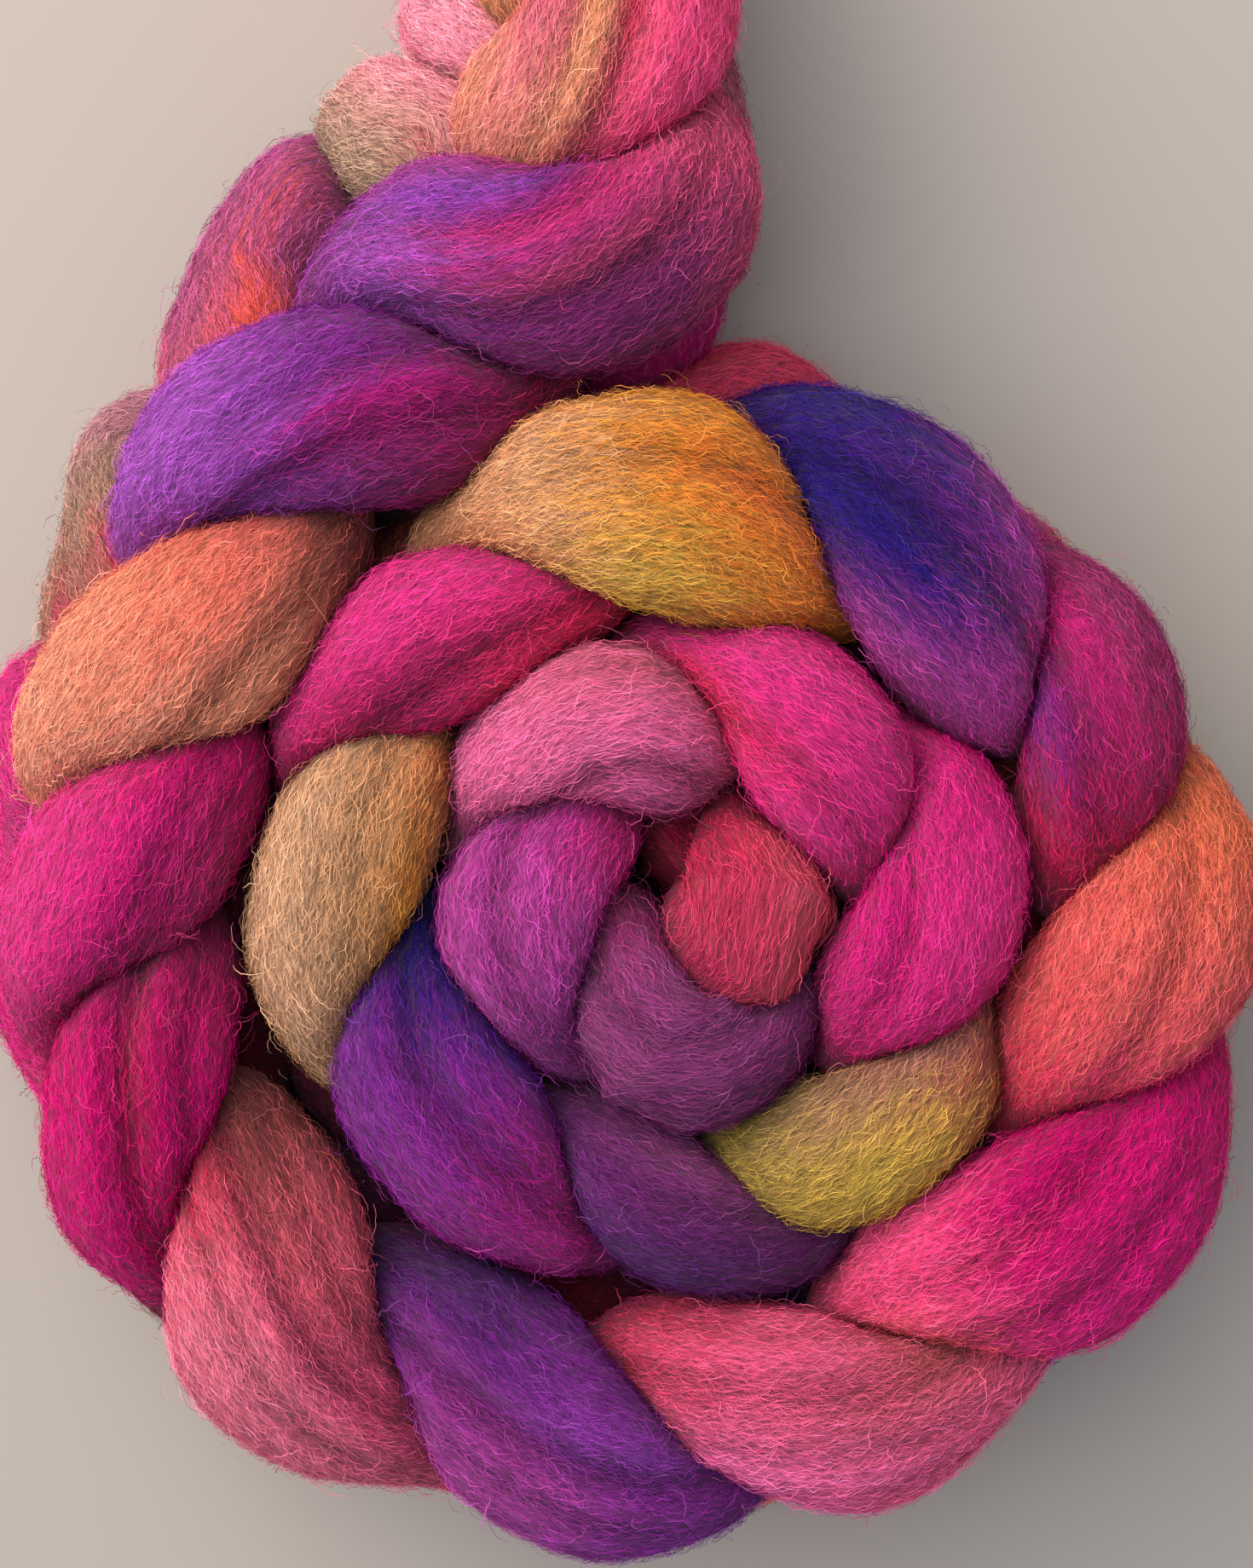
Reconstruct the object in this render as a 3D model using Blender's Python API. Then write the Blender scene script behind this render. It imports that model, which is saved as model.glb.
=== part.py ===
"""A three-ply plait of hand-dyed combed wool roving, stood on its edge and coiled into a bun.

The plait comes in from a short tail at +Y and winds inwards, anticlockwise as seen from above.
Its three strands trade places along it. Each one crosses the top edge from the coil's inner
side to its outer side, dives, passes through the plait to the inner side, crosses under the
bottom edge and climbs again. From above, each crossing of the top edge is one plump lobe.
The soft wool is pressed together wherever strands and turns meet, so the coil is one solid.
It rests on the small flat spots that its own weight presses into its lower lobes.
"""

import math

import bmesh
import bpy
import numpy as np

# Driving sizes of the plait, in metres.
STRANDS = 3
LIFT = 0.0245            # half the height between a strand's upper and lower crossing
SIDE_THROW = 0.0085      # how far a strand swings to either side of the plait's middle
STRAND_HEIGHT = 0.0150   # half the height of a strand where it crosses an edge
STRAND_BREADTH = 0.0180  # half the breadth of a strand where it runs over the plait's side
SIDE_THINNING = 0.34     # share of its thickness that a strand loses where two lie side by side
SQUASH = 0.0016          # how far the lower lobes are pressed flat by the coil's weight

# The lobes on the top edge, from the tail's end to the coil's heart, one row each.
# x, y: the lobe's crest, in millimetres from the middle of the coil's crown.
# slant: degrees between the strand and the run of the plait.
# swell: half the lobe's breadth.       crest: its height above the mean crown.
# lean: how far the plait's foot stands outside its crown.
# splay: how much further than the crown the foot spreads, to each side.
LOBE_COLUMNS = ("x", "y", "slant", "swell", "crest", "lean", "splay")
LOBES = (
    (-6.0, 172.0, 26, 15.0, -14.0, 2.0, 2.0),
    (-8.0, 142.0, 28, 15.5, -9.0, 4.0, 2.0),
    (-0.5, 108.5, 32, 16.5, -5.0, 5.0, 2.0),
    (-8.5, 75.5, 46, 18.0, 0.0, 9.0, 13.0),
    (-43.0, 54.0, 34, 15.5, 0.0, 9.0, 9.0),
    (-64.0, 20.5, 29, 16.5, 0.0, 6.0, 1.0),
    (-74.0, -12.5, 30, 15.5, -1.0, 6.0, 0.0),
    (-73.5, -46.5, 26, 14.5, -2.0, 3.0, 0.0),
    (-53.0, -78.5, 40, 16.5, 0.0, 2.0, 0.0),
    (-12.0, -100.0, 27, 16.5, -1.0, 1.0, 0.0),
    (28.0, -97.0, 31, 15.5, -1.0, 1.0, 0.0),
    (64.5, -69.5, 26, 18.0, 1.0, 1.0, 0.0),
    (79.0, -27.0, 24, 16.5, 1.0, -4.0, 0.0),
    (72.0, 4.5, 30, 13.5, -4.0, -6.0, 0.0),
    (47.0, 29.5, 30, 16.5, -1.0, -6.0, 0.0),
    (5.5, 41.0, 22, 17.5, 3.0, -3.0, 0.0),
    (-28.5, 19.5, 25, 14.5, 0.0, 2.0, 0.0),
    (-40.5, -10.5, 25, 14.0, -1.0, 2.0, 0.0),
    (-27.0, -49.5, 14, 15.5, 0.0, 2.0, 0.0),
    (10.5, -67.0, 16, 13.5, -6.0, 1.0, 0.0),
    (36.0, -55.5, 26, 13.5, -1.0, 1.0, 0.0),
    (46.0, -22.0, 32, 14.5, 1.0, 1.0, 0.0),
    (29.0, 4.5, 24, 14.0, 2.0, 1.0, 0.0),
    (-4.5, 8.5, 28, 14.0, 2.0, 0.0, 0.0),
    (-15.5, -20.5, 22, 14.5, 0.0, 0.0, 0.0),
    (7.0, -39.5, 34, 15.0, 1.0, 0.0, 0.0),
    (20.5, -21.5, 10, 13.5, 0.0, 0.0, 0.0),
    (10.0, -8.0, 0, 12.0, -8.0, 0.0, 0.0),
)
MILLIMETRE = 0.001

# The plait's two ends, counted in lobes from the first row, where its strands draw together.
TAIL_END = -0.10
HEART_END = len(LOBES) - 0.9
END_REACH = 0.9          # length of each drawn-in end, in lobes
END_FULLNESS = 0.55      # size of the plait at its very ends, beside its full size

# Fineness of the solid.
LOOK_ALONG = 0.02        # stretch over which a curve's direction is read, in lobes
MEASURES = 1200          # places at which a strand's length is measured
RING_STEP = 0.0040       # distance between two rings of a strand
RING_SIDES = 24
CAP_RINGS = 5            # rings that round off each strand's end
WOOL_GRAIN = 0.0022      # grain at which the pressed strands become one body
TRIANGLES = 9000         # triangles that carry the body's shape
CREASE_ANGLE = math.radians(50)

# The level that the coil rests on, as the top of a block wider than the coil.
LEVEL_SIZE = (0.6, 0.8, 0.05)

WOOL_COLOUR = (0.55, 0.05, 0.26, 1.0)
WOOL_ROUGHNESS = 0.9


def column(name):
    """One column of the lobe table, in metres, or in degrees for the slant."""
    index = LOBE_COLUMNS.index(name)
    scale = 1.0 if name == "slant" else MILLIMETRE
    return [row[index] * scale for row in LOBES]


COLUMNS = {name: column(name) for name in LOBE_COLUMNS}


def value(name, place):
    """A column's value at a place along the plait, on a smooth curve through all its rows."""
    rows = COLUMNS[name]
    last = len(rows) - 1
    base = int(min(max(math.floor(place), 0), last - 1))
    part = place - base
    start = rows[base]
    end = rows[base + 1]
    before = rows[base - 1] if base > 0 else 2 * start - end
    after = rows[base + 2] if base + 2 <= last else 2 * end - start
    leave = (end - before) / 2
    arrive = (after - start) / 2
    rise = end - start
    bend = 3 * rise - 2 * leave - arrive
    twist = leave + arrive - 2 * rise
    return start + part * (leave + part * (bend + part * twist))


def spine(place):
    """The plait's middle in plan, the way out of the coil there, and one lobe's length."""
    here = np.array([value("x", place), value("y", place), 0.0])
    near = np.array([value("x", place - LOOK_ALONG), value("y", place - LOOK_ALONG), 0.0])
    far = np.array([value("x", place + LOOK_ALONG), value("y", place + LOOK_ALONG), 0.0])
    run = (far - near) / (2 * LOOK_ALONG)
    lobe_length = float(np.linalg.norm(run))
    out = np.array([run[1], -run[0], 0.0]) / lobe_length
    return here, out, lobe_length


def fullness(place):
    """How full the plait is here: 1 along it, less where its ends are drawn together."""
    gap = min(place - TAIL_END, HEART_END - place)
    share = min(max(gap / END_REACH, 0.0), 1.0)
    return END_FULLNESS + (1.0 - END_FULLNESS) * math.sin(share * math.pi / 2)


def turn_of(strand, place):
    """Where a strand is on its way round the plait: 0 on the top edge, pi on the bottom edge."""
    return 2 * math.pi * (place - strand) / STRANDS


def strand_middle(strand, place):
    """The middle of one strand, as it weaves about the plait's spine."""
    here, out, lobe_length = spine(place)
    turn = turn_of(strand, place)
    full = fullness(place)
    high = math.cos(turn)
    foot = (1.0 - high) / 2
    slant = math.radians(value("slant", place))
    crown_throw = lobe_length * math.tan(slant) / (4 * math.pi / STRANDS)
    easing = 1.0 - min(crown_throw / SIDE_THROW, 1.0)
    throw = SIDE_THROW * (1.0 - easing * max(high, 0.0) ** 2) + value("splay", place) * foot
    sideways = full * throw * math.sin(2 * turn) + value("lean", place) * foot
    level = STRAND_HEIGHT - SQUASH + LIFT * full * (1.0 + high)
    height = level + value("crest", place) * (1.0 - foot)
    return here + out * sideways + np.array([0.0, 0.0, height])


def strand_ring(strand, place, roundness):
    """One ring of a strand: thinner where two strands lie side by side, broader there too."""
    middle = strand_middle(strand, place)
    along = strand_middle(strand, place + LOOK_ALONG) - strand_middle(strand, place - LOOK_ALONG)
    along = along / np.linalg.norm(along)
    out = spine(place)[1]
    sideways = out - along * float(np.dot(out, along))
    sideways = sideways / np.linalg.norm(sideways)
    upright = np.cross(sideways, along)
    side_share = math.sin(turn_of(strand, place)) ** 2
    size = roundness * math.sqrt(fullness(place))
    thick = size * value("swell", place) * (1.0 - SIDE_THINNING * side_share)
    broad = size * (STRAND_HEIGHT + (STRAND_BREADTH - STRAND_HEIGHT) * side_share)
    ring = []
    for side in range(RING_SIDES):
        angle = 2 * math.pi * side / RING_SIDES
        ring.append(middle + sideways * thick * math.cos(angle) + upright * broad * math.sin(angle))
    return ring


def ring_places(strand):
    """The places of a strand's rings, evenly spaced along the strand, and its length."""
    fine = np.linspace(TAIL_END, HEART_END, MEASURES)
    points = np.array([strand_middle(strand, place) for place in fine])
    runs = np.linalg.norm(np.diff(points, axis=0), axis=1)
    reached = np.concatenate([[0.0], np.cumsum(runs)])
    length = float(reached[-1])
    count = int(round(length / RING_STEP)) + 1
    return np.interp(np.linspace(0.0, length, count), reached, fine), length


def strand_mesh(strand):
    """A strand as a closed tube with rounded ends."""
    places, length = ring_places(strand)
    bm = bmesh.new()
    rings = []
    for index, place in enumerate(places):
        from_end = min(index, len(places) - 1 - index)
        if from_end == 0:
            rings.append([bm.verts.new(strand_middle(strand, place))])
            continue
        inward = 1.0 - min(from_end / CAP_RINGS, 1.0)
        roundness = math.sqrt(1.0 - inward ** 2)
        rings.append([bm.verts.new(point) for point in strand_ring(strand, place, roundness)])
    for near, far in zip(rings, rings[1:]):
        for side in range(RING_SIDES):
            beside = (side + 1) % RING_SIDES
            if len(near) == 1:
                bm.faces.new((near[0], far[beside], far[side]))
            elif len(far) == 1:
                bm.faces.new((near[side], near[beside], far[0]))
            else:
                bm.faces.new((near[side], near[beside], far[beside], far[side]))
    bmesh.ops.recalc_face_normals(bm, faces=bm.faces)
    mesh = bpy.data.meshes.new("strand_%d" % (strand + 1))
    bm.to_mesh(mesh)
    bm.free()
    print("strand %d is %.2f m long" % (strand + 1, length))
    return mesh


def joined(meshes):
    """Several meshes laid into one, still as loose shells."""
    bm = bmesh.new()
    for mesh in meshes:
        bm.from_mesh(mesh)
    mesh = bpy.data.meshes.new("loose_strands")
    bm.to_mesh(mesh)
    bm.free()
    return mesh


def resting_level():
    """A block whose top face is the level that the coil rests on."""
    bm = bmesh.new()
    bmesh.ops.create_cube(bm, size=1.0)
    for vert in bm.verts:
        vert.co.x *= LEVEL_SIZE[0]
        vert.co.y *= LEVEL_SIZE[1]
        vert.co.z = (vert.co.z - 0.5) * LEVEL_SIZE[2]
    mesh = bpy.data.meshes.new("resting_level")
    bm.to_mesh(mesh)
    bm.free()
    return mesh


def placed(name, mesh, is_helper=False):
    """An object for a mesh, at the world's origin."""
    obj = bpy.data.objects.new(name, mesh)
    if is_helper:
        obj.hide_render = True
        obj.display_type = "WIRE"
    bpy.context.scene.collection.objects.link(obj)
    return obj


def shaped(obj):
    """An object's mesh as its modifiers leave it."""
    bpy.context.view_layer.update()
    view = bpy.context.evaluated_depsgraph_get()
    return bpy.data.meshes.new_from_object(obj.evaluated_get(view))


def outer_skin(mesh):
    """Keep a mesh's largest shell: pockets sealed between pressed strands are wool, not air."""
    bm = bmesh.new()
    bm.from_mesh(mesh)
    unseen = set(bm.faces)
    largest = set()
    while unseen:
        front = [unseen.pop()]
        shell = set(front)
        while front:
            face = front.pop()
            for edge in face.edges:
                for beside in edge.link_faces:
                    if beside in unseen:
                        unseen.remove(beside)
                        shell.add(beside)
                        front.append(beside)
        if len(shell) > len(largest):
            largest = shell
    inner = [face for face in bm.faces if face not in largest]
    bmesh.ops.delete(bm, geom=inner, context="FACES")
    bmesh.ops.triangulate(bm, faces=bm.faces)
    bm.to_mesh(mesh)
    bm.free()
    return mesh


def pressed_together(meshes):
    """The strands as one body that keeps their creases, in fewer faces, flat where it rests."""
    body = placed("pressed_strands", joined(meshes))
    press = body.modifiers.new("press", "REMESH")
    press.mode = "VOXEL"
    press.voxel_size = WOOL_GRAIN
    whole = outer_skin(shaped(body))
    body.modifiers.clear()
    body.data = whole
    thin_out = body.modifiers.new("thin_out", "DECIMATE")
    thin_out.ratio = TRIANGLES / len(whole.polygons)
    level = placed("resting_level", resting_level(), is_helper=True)
    rest = body.modifiers.new("rest", "BOOLEAN")
    rest.operation = "DIFFERENCE"
    rest.solver = "EXACT"
    rest.object = level
    skin = outer_skin(shaped(body))
    bpy.data.objects.remove(body)
    bpy.data.objects.remove(level)
    return skin


def dyed_wool():
    material = bpy.data.materials.new("dyed_wool")
    material.use_nodes = True
    shader = material.node_tree.nodes["Principled BSDF"]
    shader.inputs["Base Color"].default_value = WOOL_COLOUR
    shader.inputs["Roughness"].default_value = WOOL_ROUGHNESS
    shader.inputs["Metallic"].default_value = 0.0
    return material


def centre_on_base(mesh):
    """Move the mesh so that the middle of its base is the origin."""
    points = np.array([vert.co for vert in mesh.vertices])
    low = points.min(axis=0)
    high = points.max(axis=0)
    for vert in mesh.vertices:
        vert.co.x -= (low[0] + high[0]) / 2
        vert.co.y -= (low[1] + high[1]) / 2
        vert.co.z -= low[2]
    print("braid size in millimetres:", np.round((high - low) / MILLIMETRE, 1))


def main():
    for obj in list(bpy.data.objects):
        bpy.data.objects.remove(obj)
    skin = pressed_together([strand_mesh(strand) for strand in range(STRANDS)])
    centre_on_base(skin)
    skin.materials.clear()
    skin.materials.append(dyed_wool())
    skin.shade_smooth()
    skin.set_sharp_from_angle(angle=CREASE_ANGLE)
    placed("roving_braid", skin)


main()
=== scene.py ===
# %% [markdown]
# # A coiled plait of dyed wool roving
#
# Roving is combed wool before it is spun: a soft rope of loose, crimped fibres, as thick as
# two fingers. Here three strands of it, dyed in runs of many colours, are plaited, and the
# plait is stood on its edge and wound into a flat bun. We look down on the bun's crown.
#
# This lesson dresses a packed frame with the finished wool. The frame is one plain solid.
# We lay three fine strands over the same plait, press them against each other as soft wool
# presses, dye them, and then comb long fibres and a fleece of short hairs over them.

# %% The frame
import math

import bpy
import numpy as np
from mathutils import Matrix, Vector
from mathutils.bvhtree import BVHTree


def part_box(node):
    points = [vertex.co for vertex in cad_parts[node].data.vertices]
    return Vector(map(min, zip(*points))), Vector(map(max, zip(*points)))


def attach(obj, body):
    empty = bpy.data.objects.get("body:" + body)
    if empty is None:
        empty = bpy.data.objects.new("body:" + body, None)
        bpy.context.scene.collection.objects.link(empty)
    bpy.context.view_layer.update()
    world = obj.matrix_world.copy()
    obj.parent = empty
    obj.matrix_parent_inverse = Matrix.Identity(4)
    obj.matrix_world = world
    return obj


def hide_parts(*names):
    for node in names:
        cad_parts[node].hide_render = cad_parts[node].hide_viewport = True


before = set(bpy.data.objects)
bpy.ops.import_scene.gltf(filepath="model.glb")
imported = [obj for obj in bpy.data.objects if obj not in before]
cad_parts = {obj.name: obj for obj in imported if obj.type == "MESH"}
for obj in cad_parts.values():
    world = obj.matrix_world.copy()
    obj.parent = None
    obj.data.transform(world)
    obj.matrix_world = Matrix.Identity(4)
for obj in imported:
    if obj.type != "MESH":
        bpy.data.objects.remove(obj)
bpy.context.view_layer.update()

MM = 0.001

# %% [markdown]
# ## The plait as a table of lobes
#
# From above, each crossing of the plait's top edge is one plump lobe. A plait could be drawn
# as three curves by hand, but its strands follow one rule, so only the crossings need to be
# written down: one row for each lobe, from the short tail inwards to the heart of the coil.
# The columns are the same as in the solid's own source, so the wool lies on the solid.

# %% The lobes
STRANDS = 3
LIFT = 24.5 * MM             # half the height between a strand's upper and lower crossing
SIDE_THROW = 8.5 * MM        # how far a strand swings to either side of the plait's middle
STRAND_HEIGHT = 15.0 * MM    # half the height of a strand where it crosses an edge
STRAND_BREADTH = 18.0 * MM   # half its breadth where it runs over the plait's side
SIDE_THINNING = 0.34         # share of its thickness that it loses where two lie side by side
SQUASH = 1.6 * MM            # how far the lower lobes are pressed flat by the coil's weight

# x, y: the crest, in millimetres from the middle of the crown. slant: degrees between the
# strand and the run of the plait. swell: half the breadth. crest: height above the mean
# crown. lean: how far the foot stands outside the crown. splay: how much further it spreads.
LOBE_COLUMNS = ("x", "y", "slant", "swell", "crest", "lean", "splay")
LOBES = (
    (-6.0, 172.0, 26, 15.0, -14.0, 2.0, 2.0),
    (-8.0, 142.0, 28, 15.5, -9.0, 4.0, 2.0),
    (-0.5, 108.5, 32, 16.5, -5.0, 5.0, 2.0),
    (-8.5, 75.5, 46, 18.0, 0.0, 9.0, 13.0),
    (-43.0, 54.0, 34, 15.5, 0.0, 9.0, 9.0),
    (-64.0, 20.5, 29, 16.5, 0.0, 6.0, 1.0),
    (-74.0, -12.5, 30, 15.5, -1.0, 6.0, 0.0),
    (-73.5, -46.5, 26, 14.5, -2.0, 3.0, 0.0),
    (-53.0, -78.5, 40, 16.5, 0.0, 2.0, 0.0),
    (-12.0, -100.0, 27, 16.5, -1.0, 1.0, 0.0),
    (28.0, -97.0, 31, 15.5, -1.0, 1.0, 0.0),
    (64.5, -69.5, 26, 18.0, 1.0, 1.0, 0.0),
    (79.0, -27.0, 24, 16.5, 1.0, -4.0, 0.0),
    (72.0, 4.5, 30, 13.5, -4.0, -6.0, 0.0),
    (47.0, 29.5, 30, 16.5, -1.0, -6.0, 0.0),
    (5.5, 41.0, 22, 17.5, 3.0, -3.0, 0.0),
    (-28.5, 19.5, 25, 14.5, 0.0, 2.0, 0.0),
    (-40.5, -10.5, 25, 14.0, -1.0, 2.0, 0.0),
    (-27.0, -49.5, 14, 15.5, 0.0, 2.0, 0.0),
    (10.5, -67.0, 16, 13.5, -6.0, 1.0, 0.0),
    (36.0, -55.5, 26, 13.5, -1.0, 1.0, 0.0),
    (46.0, -22.0, 32, 14.5, 1.0, 1.0, 0.0),
    (29.0, 4.5, 24, 14.0, 2.0, 1.0, 0.0),
    (-4.5, 8.5, 28, 14.0, 2.0, 0.0, 0.0),
    (-15.5, -20.5, 22, 14.5, 0.0, 0.0, 0.0),
    (7.0, -39.5, 34, 15.0, 1.0, 0.0, 0.0),
    (20.5, -21.5, 10, 13.5, 0.0, 0.0, 0.0),
    (10.0, -8.0, 0, 12.0, -8.0, 0.0, 0.0),
)
TAIL_END = -0.10             # the plait's two ends, counted in lobes from the first row
HEART_END = len(LOBES) - 0.9
END_REACH = 0.9              # how far from an end the plait starts to draw in, in lobes
END_FULLNESS = 0.55          # its size at the very end, beside its full size
print(len(LOBES), "lobes, shared by", STRANDS, "strands.")

# %% [markdown]
# ## Between two rows of the table
#
# Wool never turns a sharp corner, so the table is read on a smooth curve: a cubic between
# each two rows, steered by their neighbours, which meets every row without a kink. Blender's
# own curves could do that for a path alone. Here a strand's breadth, slant and height have
# to follow the same rule, as they do in the solid's source, so the sum is written out.

# %% Reading the table between its rows
TINY = 1e-12             # keeps a sum from dividing by nothing
COLUMNS = {
    name: np.array([row[index] for row in LOBES]) * (1.0 if name == "slant" else MM)
    for index, name in enumerate(LOBE_COLUMNS)
}


def value(name, place):
    """A column's value at places along the plait, on a smooth curve through all its rows."""
    rows = COLUMNS[name]
    before_all = 2 * rows[0] - rows[1]
    after_all = 2 * rows[-1] - rows[-2]
    padded = np.concatenate([[before_all], rows, [after_all]])
    base = np.clip(np.floor(place).astype(int), 0, len(rows) - 2)
    part = place - base
    before, start, end, after = (padded[base + step] for step in range(4))
    leave = (end - before) / 2
    arrive = (after - start) / 2
    rise = end - start
    bend = 3 * rise - 2 * leave - arrive
    twist = leave + arrive - 2 * rise
    return start + part * (leave + part * (bend + part * twist))


def unit(vectors):
    """Vectors cut or drawn out to a length of one."""
    return vectors / np.maximum(np.linalg.norm(vectors, axis=-1, keepdims=True), TINY)


def dot(a, b):
    """The dot product of each pair of vectors."""
    return np.sum(a * b, axis=-1)


print("Crests stand", np.round(value("crest", np.array([0.0, 1.5, 3.0])) / MM, 1), "mm up.")

# %% [markdown]
# ## The way of one strand
#
# A strand in a three-ply plait crosses the top edge, comes down on the outer side, dives
# through the middle to the inner side and crosses under the bottom edge. It climbs in the
# same way, from the outer side through the middle to the inner, and is back on top after
# three lobes. Seen from the plait's end, that is a figure of eight. We write it as one turn
# with a double swing sideways, and let the table move and tilt it.

# %% Where a strand runs
LOOK_ALONG = 0.02        # stretch over which a curve's direction is read, in lobes


def spine(place):
    """The plait's middle in plan, the way out of the coil there, and one lobe's length."""
    zero = np.zeros_like(place)
    here = np.stack([value("x", place), value("y", place), zero], axis=-1)
    near, far = place - LOOK_ALONG, place + LOOK_ALONG
    run_x = (value("x", far) - value("x", near)) / (2 * LOOK_ALONG)
    run_y = (value("y", far) - value("y", near)) / (2 * LOOK_ALONG)
    lobe_length = np.hypot(run_x, run_y)
    out = np.stack([run_y, -run_x, zero], axis=-1) / lobe_length[:, None]
    return here, out, lobe_length


def fullness(place):
    """How full the plait is: 1 along it, less where its ends are drawn together."""
    gap = np.minimum(place - TAIL_END, HEART_END - place)
    share = np.clip(gap / END_REACH, 0.0, 1.0)
    return END_FULLNESS + (1.0 - END_FULLNESS) * np.sin(share * np.pi / 2)


def turn_of(strand, place):
    """Where a strand is on its way round: 0 on the top edge, pi on the bottom edge."""
    return 2 * np.pi * (place - strand) / STRANDS


def strand_middle(strand, place):
    """The middle of one strand, as it weaves about the plait's spine."""
    here, out, lobe_length = spine(place)
    turn = turn_of(strand, place)
    full = fullness(place)
    high = np.cos(turn)
    foot = (1.0 - high) / 2
    slant = np.radians(value("slant", place))
    crown_throw = lobe_length * np.tan(slant) / (4 * np.pi / STRANDS)
    easing = 1.0 - np.minimum(crown_throw / SIDE_THROW, 1.0)
    throw = SIDE_THROW * (1.0 - easing * np.maximum(high, 0.0) ** 2) + value("splay", place) * foot
    sideways = full * throw * np.sin(2 * turn) + value("lean", place) * foot
    level = STRAND_HEIGHT - SQUASH + LIFT * full * (1.0 + high)
    middle = here + out * sideways[:, None]
    middle[:, 2] = level + value("crest", place) * (1.0 - foot)
    return middle


def ring_frame(strand, place):
    """A strand's middle, the way to its outer side, and the way up, both across the strand."""
    near = strand_middle(strand, place - LOOK_ALONG)
    far = strand_middle(strand, place + LOOK_ALONG)
    along = unit(far - near)
    out = spine(place)[1]
    sideways = unit(out - along * dot(out, along)[:, None])
    return strand_middle(strand, place), sideways, np.cross(sideways, along)


def half_sizes(strand, place):
    """Half a strand's thickness and half its breadth: flatter where two lie side by side."""
    side_share = np.sin(turn_of(strand, place)) ** 2
    size = np.sqrt(fullness(place))
    thick = size * value("swell", place) * (1.0 - SIDE_THINNING * side_share)
    broad = size * (STRAND_HEIGHT + (STRAND_BREADTH - STRAND_HEIGHT) * side_share)
    return thick, broad


half_breadths = [float(half_sizes(0, np.array([place]))[0][0]) for place in (3.0, 3.75)]
print("Half a strand is", round(half_breadths[0] / MM, 1), "mm on the crown and",
      round(half_breadths[1] / MM, 1), "mm on the side.")

# %% [markdown]
# ## Rings, evenly spaced
#
# Each strand is a tube of rings. They are spaced by the strand's own length, not by lobes,
# so the mesh is as fine where the strand dives as where it lies on the crown. Before any
# pressing, a ring is an oval. We number the points of a ring from the outer side (0) over
# the crown (a quarter) to the inner side (a half).

# %% Rings of the three strands
RING_GAP = 3.0 * MM
SIDES = 48               # points of a ring
MEASURES = 6000          # places at which a strand's length is measured
CAP_RINGS = 8            # rings that round off each end
SIDE_ANGLES = 2 * np.pi * np.arange(SIDES) / SIDES


def even_places(strand):
    """Places along the plait that are evenly spaced along this strand, and its length."""
    fine = np.linspace(TAIL_END, HEART_END, MEASURES)
    runs = np.linalg.norm(np.diff(strand_middle(strand, fine), axis=0), axis=1)
    reached = np.concatenate([[0.0], np.cumsum(runs)])
    count = int(round(reached[-1] / RING_GAP)) + 1
    return np.interp(np.linspace(0.0, reached[-1], count), reached, fine), reached[-1]


strands = []
for strand in range(STRANDS):
    place, length = even_places(strand)
    middle, sideways, upright = ring_frame(strand, place)
    thick, broad = half_sizes(strand, place)
    across = (
        sideways[:, None] * (thick[:, None] * np.cos(SIDE_ANGLES))[..., None]
        + upright[:, None] * (broad[:, None] * np.sin(SIDE_ANGLES))[..., None]
    )
    strands.append({
        "strand": strand, "place": place, "length": length, "middle": middle,
        "sideways": sideways, "upright": upright, "thick": thick, "broad": broad,
        "radius": np.linalg.norm(across, axis=-1), "ways": unit(across),
    })
    print("Strand", strand + 1, "is", round(length, 2), "m long, in", len(place), "rings.")

# %% [markdown]
# ## Folds and lumps
#
# A strand of roving is never an even rope. It is folded lengthwise here and there, so a lobe
# shows one or two long creases, and it swells and thins a little. The creases that show best
# have a row each. The small ones are sown at random, with a fixed seed so that every run
# makes the same wool.

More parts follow.
